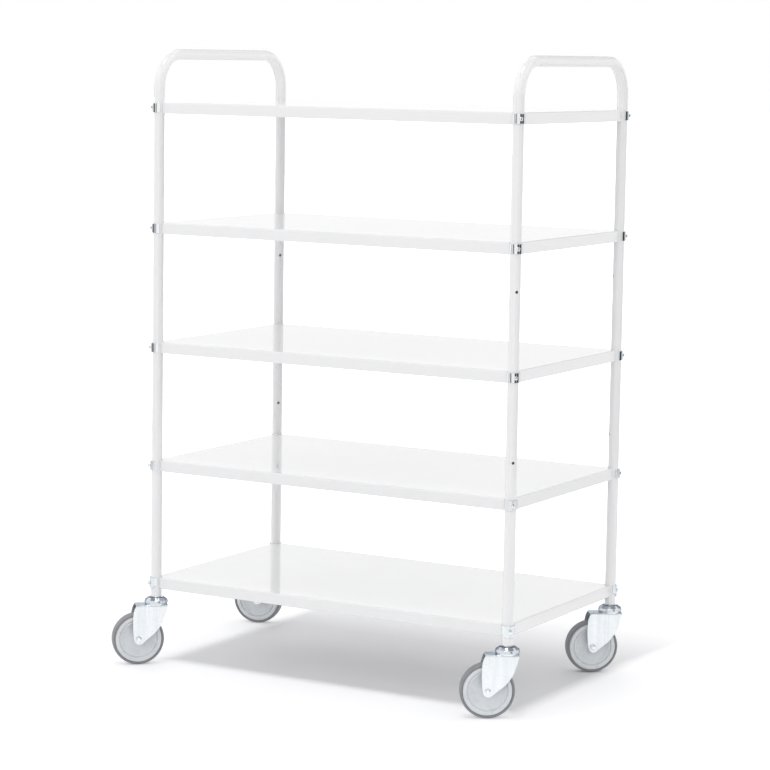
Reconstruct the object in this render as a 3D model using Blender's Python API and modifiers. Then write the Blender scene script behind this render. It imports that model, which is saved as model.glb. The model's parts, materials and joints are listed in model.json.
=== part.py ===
"""A shelf cart: two bent-tube end frames, five pressed shelves, corner clamps and four swivel casters.

Units are metres. +X runs along the shelves, +Y across them towards the back, +Z up.
The origin lies on the floor, in the middle between the four posts.
"""

import math

import bmesh
import bpy
from mathutils import Matrix, Vector

# Gap between touching pieces, how far cutters reach past what they cut, and the distance points merge at
FIT_GAP = 0.0003
OVERRUN = 0.01
WELD = 0.000005

# Posts and handles: one tube for each end of the cart
POST_SPACING_X = 0.955
POST_SPACING_Y = 0.535
TUBE_RADIUS = 0.013
TUBE_WALL = 0.0015
HANDLE_BEND_RADIUS = 0.08
HANDLE_ABOVE_TOP_SHELF = 0.1258
TUBE_SIDES = 16
BEND_STEPS = 5

# Shelves
SHELF_COUNT = 5
SHELF_PITCH = 0.2851
BOTTOM_SHELF_ABOVE_TUBE_END = 0.0448
SHELF_PROUD_OF_POST_AXIS = 0.005
SHELF_SHEET = 0.0012
SHELF_LIP = 0.027
SHELF_HEM = 0.012
SHELF_EDGE_RADIUS = 0.003
NOTCH_GAP = 0.0005
NOTCH_STEPS = 5
EDGE_STEPS = 2

# Corner clamps, their screws and nuts
STRAP_THICKNESS = 0.002
STRAP_HEIGHT = 0.022
STRAP_REACH = math.radians(87)
STRAP_NOSE_WIDTH = 0.006
STRAP_NOSE_RISE = 0.0017
BRACKET_THICKNESS = 0.0025
BRACKET_HEIGHT = 0.027
BRACKET_TAPER = 0.009
BRACKET_FOOT_share = 0.55
STRAP_STEPS = 3
SCREW_RADIUS = 0.003
SCREW_HEAD_ACROSS = 0.01
SCREW_HEAD_HEIGHT = 0.0045
SCREW_END_PAST_NUT = 0.0015
NUT_HEIGHT = 0.005
SCREW_SIDES = 6
HEX_SIDES = 6

# Wheels
WHEEL_RADIUS = 0.0625
TYRE_WIDTH = 0.032
TYRE_SHOULDER = 0.0045
TYRE_BEAD = 0.0018
TYRE_CROWN = 0.0005
TYRE_DEPTH = 0.0065
RIM_WIDTH = 0.029
RIM_BAND = 0.0105
RIM_STEP = 0.003
WEB_THICKNESS = 0.014
HUB_RADIUS = 0.0115
HUB_WIDTH = 0.033
WHEEL_SIDES = 24
SHOULDER_ARC = (math.radians(75), math.radians(15))
SHOULDER_STEPS = 2

# Forks and axles
TRAIL = 0.044
FORK_SHEET = 0.0025
FORK_TO_TYRE = 0.0015
FORK_FLARE = 0.004
FLARE_FRONT_share = 0.58
FLARE_BACK_share = 0.2
CROWN_ABOVE_WHEEL = 0.021
CROWN_BEND = 0.004
FORK_FRONT = 0.0144
FORK_TIP_RADIUS = 0.0128
AXLE_RADIUS = 0.004
AXLE_HEAD_ACROSS = 0.013
AXLE_HEAD_HEIGHT = 0.005
AXLE_NUT_HEIGHT = 0.0065
AXLE_END_PAST_NUT = 0.0015
SLEEVE_WALL = 0.0017

# Swivel heads
RACE_INSIDE_CUP = 0.0015
RACE_RISE = 0.003
RACE_DEPTH = 0.0035
RACE_PAST_CROWN = 0.001
CUP_BEYOND_TUBE = 0.015
CUP_HEIGHT = 0.0125
CUP_EDGE = 0.0015
CUP_DOME = 0.0048
CUP_DOME_share = 0.946
CUP_FLAT_share = 0.6
KING_PIN_RADIUS = 0.006
RIVET_RADIUS = 0.009
RIVET_HEIGHT = 0.0065
STEM_SHOWN = 0.0042
STEM_CHAMFER = 0.0015
STEM_TO_SCREW = 0.0015
HEAD_SIDES = 16
PIN_SIDES = 10

# The way each caster stands: the angle of its wheel's outer face from the front of the cart
CASTERS = {
    "front_left": (-1, -1, math.radians(43.3)),
    "front_right": (1, -1, math.radians(33.1)),
    "rear_right": (1, 1, math.radians(38.4)),
    "rear_left": (-1, 1, math.radians(16.2)),
}

# Edges of a fork leg, from the tip up. Along the cart the front edge is given as shares of FORK_FRONT
# ahead of the axle, and the back edge as shares of the way from the axle to the back of the crown.
# Upwards both are shares of the height from the axle to the crown.
FRONT_EDGE_shares = (
    (0.85, 0.066),
    (0.965, 0.305),
    (1.0, 0.533),
    (0.94, 0.737),
    (0.715, 0.886),
    (0.35, 1.0),
)
BACK_EDGE_shares = (
    (0.22, -0.054),
    (0.39, 0.066),
    (0.567, 0.204),
    (0.709, 0.353),
    (0.816, 0.509),
    (0.887, 0.689),
    (0.943, 0.844),
    (1.0, 1.0),
)
TIP_ARC = (math.radians(-25), math.radians(-120))
TIP_STEPS = 4

# Heights, from the floor up
AXLE_HEIGHT = WHEEL_RADIUS
CROWN_TOP = AXLE_HEIGHT + WHEEL_RADIUS + CROWN_ABOVE_WHEEL
CROWN_UNDERSIDE = CROWN_TOP - RACE_DEPTH
CUP_BOTTOM = CROWN_TOP + RACE_RISE + FIT_GAP
CUP_TOP = CUP_BOTTOM + CUP_HEIGHT
TUBE_END = CUP_TOP + STEM_SHOWN
BOTTOM_SHELF_TOP = TUBE_END + BOTTOM_SHELF_ABOVE_TUBE_END
TOP_SHELF_TOP = BOTTOM_SHELF_TOP + SHELF_PITCH * (SHELF_COUNT - 1)
HANDLE_AXIS = TOP_SHELF_TOP + HANDLE_ABOVE_TOP_SHELF - TUBE_RADIUS
SCREW_BELOW_SHELF_TOP = SHELF_LIP / 2

# Sizes that follow from a neighbour
RIM_RADIUS = WHEEL_RADIUS - TYRE_DEPTH
CUP_RADIUS = TUBE_RADIUS + CUP_BEYOND_TUBE
RACE_RADIUS = CUP_RADIUS - RACE_INSIDE_CUP
NOTCH_RADIUS = TUBE_RADIUS + NOTCH_GAP
TUBE_BORE_RADIUS = (TUBE_RADIUS - TUBE_WALL) * math.cos(math.pi / TUBE_SIDES)
STEM_RADIUS = TUBE_BORE_RADIUS - FIT_GAP
FORK_HALF_FRONT = TYRE_WIDTH / 2 + FORK_TO_TYRE + FORK_SHEET
FORK_HALF_BACK = FORK_HALF_FRONT + FORK_FLARE
SLEEVE_BORE = AXLE_RADIUS + FIT_GAP
SLEEVE_RADIUS = SLEEVE_BORE + SLEEVE_WALL

WHITE = ("white_powder_coat", (0.9, 0.9, 0.9), 0.35, 0.0)
ZINC = ("bright_zinc", (0.8, 0.83, 0.87), 0.25, 1.0)
GREY_PLASTIC = ("grey_wheel_plastic", (0.5, 0.52, 0.55), 0.45, 0.0)
GREY_RUBBER = ("grey_rubber", (0.16, 0.165, 0.18), 0.7, 0.0)


def clear_scene():
    for obj in list(bpy.data.objects):
        bpy.data.objects.remove(obj, do_unlink=True)


def new_collection(name):
    collection = bpy.data.collections.new(name)
    bpy.context.scene.collection.children.link(collection)
    return collection


def material(kind):
    """The material of that kind, made when it is first asked for."""
    name, colour, roughness, metallic = kind
    found = bpy.data.materials.get(name)
    if found:
        return found
    made = bpy.data.materials.new(name)
    made.use_nodes = True
    shader = made.node_tree.nodes["Principled BSDF"]
    shader.inputs["Base Color"].default_value = (*colour, 1.0)
    shader.inputs["Roughness"].default_value = roughness
    shader.inputs["Metallic"].default_value = metallic
    made.diffuse_color = (*colour, 1.0)
    return made


def round_off(mesh):
    """Smooth shading, with edges over 30 degrees left sharp."""
    mesh.shade_smooth()
    mesh.set_sharp_from_angle(angle=math.radians(30))


def part(name, mesh, kind, location=(0, 0, 0), turn_z=0.0, parent=None):
    """One piece of the cart, in the cart's collection."""
    copy = mesh.copy()
    copy.materials.clear()
    copy.materials.append(material(kind))
    round_off(copy)
    obj = bpy.data.objects.new(name, copy)
    obj.location = location
    obj.rotation_euler = (0, 0, turn_z)
    obj.parent = parent
    cart.objects.link(obj)
    return obj


def pattern(name, data):
    """A shape that others are cut or copied from. It isn't a piece of the cart."""
    obj = bpy.data.objects.new(name, data)
    obj.hide_render = True
    obj.display_type = "WIRE"
    patterns.objects.link(obj)
    return obj


def evaluated_mesh(obj):
    """The object's shape with its modifiers, in world space, with a curve's caps welded to its sides."""
    depsgraph = bpy.context.evaluated_depsgraph_get()
    mesh = bpy.data.meshes.new_from_object(obj.evaluated_get(depsgraph))
    mesh.transform(obj.matrix_world)
    bm = bmesh.new()
    bm.from_mesh(mesh)
    bmesh.ops.remove_doubles(bm, verts=bm.verts, dist=WELD)
    bmesh.ops.recalc_face_normals(bm, faces=bm.faces)
    bm.to_mesh(mesh)
    bm.free()
    return mesh


def boolean(obj, other, operation):
    modifier = obj.modifiers.new(operation.lower(), "BOOLEAN")
    modifier.object = other
    modifier.operation = operation
    modifier.solver = "EXACT"


def plate(name, outline, thickness):
    """A flat plate with that outline, lying in X and Y and centred on z = 0."""
    curve = bpy.data.curves.new(name, "CURVE")
    curve.dimensions = "2D"
    curve.fill_mode = "BOTH"
    curve.extrude = thickness / 2
    spline = curve.splines.new("POLY")
    spline.points.add(len(outline) - 1)
    for point, (x, y) in zip(spline.points, outline):
        point.co = (x, y, 0, 1)
    spline.use_cyclic_u = True
    flat = pattern(name, curve)
    mesh = evaluated_mesh(flat)
    bpy.data.objects.remove(flat, do_unlink=True)
    return pattern(name, mesh)


def turned(name, profile, sides, ring):
    """A profile of (radius, height) points turned about Z. A ring's profile is a closed loop."""
    mesh = bpy.data.meshes.new(name)
    count = len(profile)
    edges = [(i, i + 1) for i in range(count - 1)]
    if ring:
        edges.append((count - 1, 0))
    mesh.from_pydata([(radius, 0, height) for radius, height in profile], edges, [])
    obj = pattern(name, mesh)
    screw = obj.modifiers.new("turn", "SCREW")
    screw.axis = "Z"
    screw.steps = sides
    screw.render_steps = sides
    screw.use_merge_vertices = True
    screw.merge_threshold = WELD
    return obj


def outside(radius, sides):
    """Corner radius of a polygon of that many sides whose flats touch the circle."""
    return radius / math.cos(math.pi / sides)


def rods(name, ends, radius, sides):
    """Straight rods of one radius, each from one point to another, as one mesh."""
    bm = bmesh.new()
    for start, end in ends:
        along = Vector(end) - Vector(start)
        turn = along.to_track_quat("Z", "Y").to_matrix().to_4x4()
        place = Matrix.Translation((Vector(start) + Vector(end)) / 2) @ turn
        bmesh.ops.create_cone(
            bm,
            cap_ends=True,
            segments=sides,
            radius1=radius,
            radius2=radius,
            depth=along.length,
            matrix=place,
        )
    mesh = bpy.data.meshes.new(name)
    bm.to_mesh(mesh)
    bm.free()
    return pattern(name, mesh)


def arc(centre, radius, start, end, steps):
    """Points of an arc in a plane, both ends included."""
    return [
        (centre[0] + radius * math.cos(angle), centre[1] + radius * math.sin(angle))
        for angle in (start + (end - start) * i / steps for i in range(steps + 1))
    ]


def post_axis(side_x, side_y):
    return side_x * POST_SPACING_X / 2, side_y * POST_SPACING_Y / 2


def shelf_top(number):
    """Height of a shelf's upper face. Shelf 1 is the top one."""
    return TOP_SHELF_TOP - SHELF_PITCH * (number - 1)


def screw_heights():
    """Heights of the screws in each post, from the top shelf down."""
    return [shelf_top(number) - SCREW_BELOW_SHELF_TOP for number in range(1, SHELF_COUNT + 1)]


def spare_hole_heights():
    """Spare holes at the thirds of the height, which suit a cart with four shelves."""
    heights = screw_heights()
    return [heights[0] + (heights[-1] - heights[0]) * third / 3 for third in (1, 2)]


# End frames


def frame_path():
    """Centre line of an end frame, as (y, z): up the front post, over the handle, down the rear post."""
    centre = (-POST_SPACING_Y / 2 + HANDLE_BEND_RADIUS, HANDLE_AXIS - HANDLE_BEND_RADIUS)
    front = [(-POST_SPACING_Y / 2, TUBE_END)]
    front += arc(centre, HANDLE_BEND_RADIUS, math.pi, math.pi / 2, BEND_STEPS)
    return front + [(-y, z) for y, z in reversed(front)]


def bent_rod():
    """The outside of an end frame: a rod with a curve's round section, bent into an upside-down U."""
    curve = bpy.data.curves.new("frame_path", "CURVE")
    curve.dimensions = "3D"
    curve.bevel_depth = TUBE_RADIUS
    curve.bevel_resolution = TUBE_SIDES // 2 - 2
    path = frame_path()
    spline = curve.splines.new("POLY")
    spline.points.add(len(path) - 1)
    for point, (y, z) in zip(spline.points, path):
        point.co = (0, y, z, 1)
    bent = pattern("frame_path", curve)
    skin = evaluated_mesh(bent)
    bpy.data.objects.remove(bent, do_unlink=True)
    return skin


def frame_mesh(side_x):
    """An end frame: a bent tube, drilled at 45 degrees for the screws."""
    tube = pattern(f"frame_pattern_{side_x}", bent_rod())
    tube.location.x = side_x * POST_SPACING_X / 2
    wall = tube.modifiers.new("wall", "SOLIDIFY")
    wall.thickness = TUBE_WALL
    wall.offset = -1
    wall.use_even_offset = True
    drills = []
    reach = TUBE_RADIUS + OVERRUN
    for side_y in (-1, 1):
        x, y = post_axis(side_x, side_y)
        away = Vector((side_x, side_y, 0)).normalized() * reach
        for height in screw_heights() + spare_hole_heights():
            middle = Vector((x, y, height))
            drills.append((middle - away, middle + away))
    bore = outside(SCREW_RADIUS + FIT_GAP, SCREW_SIDES)
    drill = rods(f"frame_drills_{side_x}", drills, bore, SCREW_SIDES)
    boolean(tube, drill, "DIFFERENCE")
    return evaluated_mesh(tube)


def make_frames():
    for side_x, side in ((-1, "left"), (1, "right")):
        part(f"end_frame_{side}", frame_mesh(side_x), WHITE)


# Shelves


def shelf_outline(inset):
    """Outline of a shelf, drawn in by the inset, with its corners hollowed round the posts."""
    proud = SHELF_PROUD_OF_POST_AXIS - inset
    half_step = (math.pi / 4 + math.asin(SHELF_PROUD_OF_POST_AXIS / NOTCH_RADIUS)) / NOTCH_STEPS
    radius = NOTCH_RADIUS / math.cos(half_step) + inset
    reach = math.asin(proud / radius)
    points = []
    for side_x, side_y, flip in ((-1, -1, True), (1, -1, False), (1, 1, True), (-1, 1, False)):
        x, y = post_axis(side_x, side_y)
        hollow = arc((0, 0), radius, -reach, math.pi / 2 + reach, NOTCH_STEPS)
        if flip:
            hollow.reverse()
        points += [(x - side_x * u, y - side_y * v) for u, v in hollow]
    return points


def shelf_sections():
    """The tray's sections from the top face round the edge, down the lip and in along the hem."""
    sections = []
    for step in range(EDGE_STEPS + 1):
        angle = math.pi / 2 * step / EDGE_STEPS
        inset = SHELF_EDGE_RADIUS * (1 - math.sin(angle))
        sections.append((inset, -SHELF_EDGE_RADIUS * (1 - math.cos(angle))))
    sections.append((0, -SHELF_LIP))
    sections.append((SHELF_HEM, -SHELF_LIP))
    return sections


def shelf_mesh():
    """One pressed tray, its top face at z = 0."""
    bm = bmesh.new()
    rings = []
    for inset, height in shelf_sections():
        rings.append([bm.verts.new((x, y, height)) for x, y in shelf_outline(inset)])
    bm.faces.new(rings[0])
    for upper, lower in zip(rings, rings[1:]):
        for i in range(len(upper)):
            j = (i + 1) % len(upper)
            bm.faces.new((upper[j], upper[i], lower[i], lower[j]))
    mesh = bpy.data.meshes.new("shelf_skin")
    bm.to_mesh(mesh)
    bm.free()
    tray = pattern("shelf_pattern", mesh)
    sheet = tray.modifiers.new("sheet", "SOLIDIFY")
    sheet.thickness = SHELF_SHEET
    sheet.offset = -1
    sheet.use_even_offset = True
    drills = []
    for side_x in (-1, 1):
        for side_y in (-1, 1):
            x, y = post_axis(side_x, side_y)
            inward = -Vector((side_x, side_y, 0)).normalized()
            start = Vector((x, y, -SCREW_BELOW_SHELF_TOP))
            drills.append((start, start + inward * (NOTCH_RADIUS + SHELF_SHEET + OVERRUN)))
    drill = rods("shelf_drills", drills, outside(SCREW_RADIUS + FIT_GAP, SCREW_SIDES), SCREW_SIDES)
    boolean(tray, drill, "DIFFERENCE")
    return evaluated_mesh(tray)


def make_shelves():
    mesh = shelf_mesh()
    for number in range(1, SHELF_COUNT + 1):
        part(f"shelf_{number}", mesh, WHITE, (0, 0, shelf_top(number)))


# Corner clamps, each with its screw and nut. +X points straight out from the corner.


def strap_outline(thickness, rise):
    """A strap round the outside of the post, with a flat nose at the screw that stands out by the rise.

    Straight shoulders run from the nose to the circle round the post, which they touch.
    """
    inner = TUBE_RADIUS + FIT_GAP
    outer = inner + thickness
    nose = outer + rise
    half = STRAP_NOSE_WIDTH / 2
    touch = math.atan2(half, nose) + math.acos(outer / math.hypot(nose, half))
    half_step = (STRAP_REACH - touch) / STRAP_STEPS / 2
    lines = []
    for radius, corner_radius in ((outer, outer), (inner, inner / math.cos(half_step))):
        nose_half = (radius - (radius + rise) * math.cos(touch)) / math.sin(touch)
        upper = [(radius + rise, nose_half)] + arc((0, 0), corner_radius, touch, STRAP_REACH, STRAP_STEPS)
        lines.append([(x, -y) for x, y in reversed(upper)] + upper)
    return lines[0] + list(reversed(lines[1]))


def clamp_mesh(name, thickness, height, rise, tapered):
    strap = plate(f"{name}_strap", strap_outline(thickness, rise), height)
    outer = TUBE_RADIUS + FIT_GAP + thickness
    seat = outer + rise
    if tapered:
        foot = outer * BRACKET_FOOT_share
        side = outer + OVERRUN
        taper = [
            (-side, height),
            (-side, BRACKET_TAPER - height / 2),
            (-foot - (side - outer), -height / 2),
            (foot + (side - outer), -height / 2),
            (side, BRACKET_TAPER - height / 2),
            (side, height),
        ]
        face = plate(f"{name}_taper", taper, 4 * side)
        face.rotation_euler = (math.pi / 2, 0, math.pi / 2)
        bpy.context.view_layer.update()
        boolean(strap, face, "INTERSECT")
    inner_face = NOTCH_RADIUS + SHELF_SHEET + FIT_GAP
    nut_end = inner_face + NUT_HEIGHT
    hex_radius = outside(SCREW_HEAD_ACROSS / 2, HEX_SIDES)
    head = rods(
        f"{name}_head",
        [((seat - thickness / 2, 0, 0), (seat + SCREW_HEAD_HEIGHT, 0, 0))],
        hex_radius,
        HEX_SIDES,
    )
    shank = rods(
        f"{name}_shank",
        [((-nut_end - SCREW_END_PAST_NUT, 0, 0), (seat, 0, 0))],
        SCREW_RADIUS,
        SCREW_SIDES,
    )
    nut = rods(f"{name}_nut", [((-nut_end, 0, 0), (-inner_face, 0, 0))], hex_radius, HEX_SIDES)
    for piece in (head, shank, nut):
        boolean(strap, piece, "UNION")
    return evaluated_mesh(strap)


def make_clamps():
    strap = clamp_mesh("clamp", STRAP_THICKNESS, STRAP_HEIGHT, STRAP_NOSE_RISE, False)
    bracket = clamp_mesh("bracket", BRACKET_THICKNESS, BRACKET_HEIGHT, 0, True)
    for number, height in enumerate(screw_heights(), 1):
        for corner, (side_x, side_y, _) in CASTERS.items():
            x, y = post_axis(side_x, side_y)
            out = math.atan2(side_y, side_x)
            if number < SHELF_COUNT:
                part(f"clamp_{number}_{corner}", strap, ZINC, (x, y, height), out)
            else:
                part(f"bracket_{number}_{corner}", bracket, ZINC, (x, y, height), out)


# Casters. +X points from the swivel axis to the axle, +Y along the axle, and z = 0 is the floor.


def stem_mesh():
    """The pin that stands in the post. Below, it is the king pin, riveted over under the fork."""
    top = screw_heights()[-1] - outside(SCREW_RADIUS, SCREW_SIDES) - STEM_TO_SCREW
    seat = CUP_TOP + FIT_GAP
    rivet = CROWN_UNDERSIDE - FIT_GAP
    profile = [
        (0, top),
        (STEM_RADIUS - STEM_CHAMFER, top),
        (STEM_RADIUS, top - STEM_CHAMFER),
        (STEM_RADIUS, seat),
        (KING_PIN_RADIUS, seat),
        (KING_PIN_RADIUS, rivet),
        (RIVET_RADIUS, rivet),
        (RIVET_RADIUS, rivet - RIVET_HEIGHT / 2),
        (KING_PIN_RADIUS, rivet - RIVET_HEIGHT),
        (0, rivet - RIVET_HEIGHT),
    ]
    return evaluated_mesh(turned("stem_pattern", profile, PIN_SIDES, False))


def cup_mesh():
    """The fixed upper half of the swivel race."""
    bore = outside(KING_PIN_RADIUS + FIT_GAP, HEAD_SIDES)
    profile = [
        (bore, CUP_TOP),
        (CUP_RADIUS * CUP_FLAT_share, CUP_TOP),
        (CUP_RADIUS * CUP_DOME_share, CUP_TOP - CUP_DOME),
        (CUP_RADIUS, CUP_BOTTOM + CUP_EDGE),
        (CUP_RADIUS - CUP_EDGE, CUP_BOTTOM),
        (bore, CUP_BOTTOM),
    ]
    return evaluated_mesh(turned("cup_pattern", profile, HEAD_SIDES, True))


def leg_outline():
    """Side view of the fork, as (x, z)."""
    rise = CROWN_TOP - AXLE_HEIGHT
    back = TRAIL + RACE_RADIUS - RACE_PAST_CROWN
    front_edge = [(TRAIL + FORK_FRONT * x, AXLE_HEIGHT + rise * z) for x, z in FRONT_EDGE_shares]
    back_edge = [(TRAIL - back * x, AXLE_HEIGHT + rise * z) for x, z in BACK_EDGE_shares]
    tip = arc((TRAIL, AXLE_HEIGHT), FORK_TIP_RADIUS, *TIP_ARC, TIP_STEPS)
    return list(reversed(front_edge)) + tip + back_edge


def channel_outline(inset):
    """Plan of the fork, as (x, y): narrow beside the wheel, wider under the race."""
    front = TRAIL + FORK_FRONT + OVERRUN
    back = -RACE_RADIUS - OVERRUN
    narrow = FORK_HALF_FRONT - inset
    wide = FORK_HALF_BACK - inset
    half = [
        (front + inset, narrow),
        (TRAIL * FLARE_FRONT_share, narrow),
        (TRAIL * FLARE_BACK_share, wide),
        (back - inset, wide),
    ]
    return half + [(x, -y) for x, y in reversed(half)]


def channel(name, inset, top):
    """A block with the fork's plan, from below the leg tips up to the given height.

    Its upper edges are rounded along both sides, where the sheet bends down from the crown to the legs.
    """
    bottom = AXLE_HEIGHT - FORK_TIP_RADIUS - OVERRUN - inset
    block = plate(name, channel_outline(inset), top - bottom)
    block.location.z = (top + bottom) / 2
    bm = bmesh.new()
    bm.from_mesh(block.data)
    bmesh.ops.dissolve_limit(bm, angle_limit=math.radians(1), verts=bm.verts, edges=bm.edges)
    upper = max(vert.co.z for vert in bm.verts)
    bend = []
    for edge in bm.edges:
        start, end = (vert.co for vert in edge.verts)
        at_top = upper - min(start.z, end.z) < WELD
        on_rim = edge.calc_face_angle() > math.radians(45)
        lengthwise = abs(end.x - start.x) > WELD
        if at_top and on_rim and lengthwise:
            bend.append(edge)
    bmesh.ops.bevel(bm, geom=bend, offset=CROWN_BEND - inset, segments=2, profile=0.5, affect="EDGES")
    bm.to_mesh(block.data)
    bm.free()
    bpy.context.view_layer.update()
    return block


def fork_mesh():
    """A channel of bent sheet, cut to the side view of the legs, with the lower race on its crown."""
    fork = channel("fork_pattern", 0, CROWN_TOP)
    boolean(fork, channel("fork_inside", FORK_SHEET, CROWN_TOP - FORK_SHEET), "DIFFERENCE")
    side = plate("fork_side", leg_outline(), 2 * (FORK_HALF_BACK + OVERRUN))
    side.rotation_euler = (math.pi / 2, 0, 0)
    bpy.context.view_layer.update()
    boolean(fork, side, "INTERSECT")
    race = rods(
        "fork_race",
        [((0, 0, CROWN_UNDERSIDE), (0, 0, CROWN_TOP + RACE_RISE))],
        RACE_RADIUS,
        HEAD_SIDES,
    )
    boolean(fork, race, "UNION")
    bore = rods(
        "fork_pin_bore",
        [((0, 0, CROWN_UNDERSIDE - OVERRUN), (0, 0, CROWN_TOP + OVERRUN))],
        outside(KING_PIN_RADIUS + FIT_GAP, HEAD_SIDES),
        HEAD_SIDES,
    )
    boolean(fork, bore, "DIFFERENCE")
    axle = rods(
        "fork_axle_bores",
        [((TRAIL, -FORK_HALF_BACK - OVERRUN, AXLE_HEIGHT), (TRAIL, FORK_HALF_BACK + OVERRUN, AXLE_HEIGHT))],
        outside(AXLE_RADIUS + FIT_GAP, PIN_SIDES),
        PIN_SIDES,
    )
    boolean(fork, axle, "DIFFERENCE")
    return evaluated_mesh(fork)


def along_axle(obj, twist=0.0):
    """The mesh of a shape that was made about Z, laid along the axle."""
    mesh = evaluated_mesh(obj)
    mesh.transform(Matrix.Rotation(twist, 4, "Y") @ Matrix.Rotation(-math.pi / 2, 4, "X"))
    return mesh


def axle_bolt_mesh():
    head = FORK_HALF_FRONT + FIT_GAP
    end = head + AXLE_NUT_HEIGHT + AXLE_END_PAST_NUT
    inside_head = -head - AXLE_HEAD_HEIGHT / 2
    bolt = rods("axle_pattern", [((0, 0, inside_head), (0, 0, end))], AXLE_RADIUS, PIN_SIDES)
    cap = rods(
        "axle_head_pattern",
        [((0, 0, -head - AXLE_HEAD_HEIGHT), (0, 0, -head))],
        outside(AXLE_HEAD_ACROSS / 2, HEX_SIDES),
        HEX_SIDES,
    )
    boolean(cap, bolt, "UNION")
    return along_axle(cap)


def axle_nut_mesh():
    seat = FORK_HALF_FRONT + FIT_GAP
    nut = rods(
        "axle_nut_pattern",
        [((0, 0, seat), (0, 0, seat + AXLE_NUT_HEIGHT))],
        outside(AXLE_HEAD_ACROSS / 2, HEX_SIDES),
        HEX_SIDES,
    )
    bore = rods(
        "axle_nut_bore",
        [((0, 0, seat - OVERRUN), (0, 0, seat + AXLE_NUT_HEIGHT + OVERRUN))],
        outside(AXLE_RADIUS + FIT_GAP, PIN_SIDES),
        PIN_SIDES,
    )
    boolean(nut, bore, "DIFFERENCE")
    return along_axle(nut)


def axle_sleeve_mesh():
    """The tube between the legs that the wheel turns on."""
    half = FORK_HALF_FRONT - FORK_SHEET - FIT_GAP
    bore = outside(SLEEVE_BORE, PIN_SIDES)
    profile = [(SLEEVE_RADIUS, half), (SLEEVE_RADIUS, -half), (bore, -half), (bore, half)]
    return along_axle(turned("sleeve_pattern", profile, PIN_SIDES, True))


def half_turn_of_a_side():
    """Twist that brings a flat of the wheel, not a corner, down to the floor."""
    return math.pi / WHEEL_SIDES


def on_flats(profile):
    """Radii moved out so that the flats of the turned shape, not its corners, have the real size."""
    return [(outside(radius, WHEEL_SIDES), height) for radius, height in profile]


def wheel_centre_mesh():
    """Rim, web and hub in one moulding, with a band round each face and a hollow inside it."""
    bore = SLEEVE_RADIUS + FIT_GAP
    face = [
        (HUB_RADIUS, HUB_WIDTH / 2),
        (HUB_RADIUS + RIM_STEP, WEB_THICKNESS / 2),
        (RIM_RADIUS - RIM_BAND - RIM_STEP, WEB_THICKNESS / 2 + RIM_STEP / 2),
        (RIM_RADIUS - RIM_BAND, RIM_WIDTH / 2),
        (RIM_RADIUS, RIM_WIDTH / 2),
    ]
    profile = [(bore, HUB_WIDTH / 2)] + face
    profile += [(radius, -height) for radius, height in reversed(face)] + [(bore, -HUB_WIDTH / 2)]
    return along_axle(turned("wheel_pattern", on_flats(profile), WHEEL_SIDES, True), half_turn_of_a_side())


def tyre_mesh():
    half = TYRE_WIDTH / 2
    seat = RIM_RADIUS + FIT_GAP
    shoulder = WHEEL_RADIUS - TYRE_CROWN
    centre = (shoulder - TYRE_SHOULDER, half - TYRE_SHOULDER)
    side = [(seat, half - TYRE_BEAD), (seat + TYRE_BEAD / 2, half)]
    side += arc(centre, TYRE_SHOULDER, *SHOULDER_ARC, SHOULDER_STEPS)
    profile = side + [(WHEEL_RADIUS, 0)] + [(radius, -height) for radius, height in reversed(side)]
    return along_axle(turned("tyre_pattern", on_flats(profile), WHEEL_SIDES, True), half_turn_of_a_side())


def empty(name, location, turn_z, parent=None):
    obj = bpy.data.objects.new(name, None)
    obj.location = location
    obj.rotation_euler = (0, 0, turn_z)
    obj.parent = parent
    cart.objects.link(obj)
    return obj


def make_casters():
    stem, cup, fork = stem_mesh(), cup_mesh(), fork_mesh()
    bolt, nut, sleeve = axle_bolt_mesh(), axle_nut_mesh(), axle_sleeve_mesh()
    centre, tyre = wheel_centre_mesh(), tyre_mesh()
    for corner, (side_x, side_y, facing) in CASTERS.items():
        x, y = post_axis(side_x, side_y)
        part(f"caster_stem_{corner}", stem, ZINC, (x, y, 0))
        part(f"caster_cup_{corner}", cup, ZINC, (x, y, 0))
        swivel = empty(f"swivel_axis_{corner}", (x, y, 0), facing + math.pi)
        spin = empty(f"wheel_axis_{corner}", (TRAIL, 0, AXLE_HEIGHT), 0, swivel)
        part(f"caster_fork_{corner}", fork, ZINC, parent=swivel)
        part(f"axle_bolt_{corner}", bolt, ZINC, parent=spin)
        part(f"axle_nut_{corner}", nut, ZINC, parent=spin)
        part(f"axle_sleeve_{corner}", sleeve, ZINC, parent=spin)
        part(f"wheel_centre_{corner}", centre, GREY_PLASTIC, parent=spin)
        part(f"tyre_{corner}", tyre, GREY_RUBBER, parent=spin)


clear_scene()
cart = new_collection("shelf_cart")
patterns = new_collection("shelf_cart_patterns")
make_frames()
make_shelves()
make_clamps()
make_casters()
bpy.context.view_layer.update()
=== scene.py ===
# %% [markdown]
# # A shelf cart, dressed for its picture
# Two steel tubes are bent into upside-down U shapes, five trays hang between them, and four swivel
# casters carry the whole. The solids come packed from CAD and stay where they are. They are plain and
# faceted, so this lesson builds finer surfaces over them, each with a finish made of nodes.

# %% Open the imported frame
import json
import math

import bmesh
import bpy
from mathutils import Matrix, Vector


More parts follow.
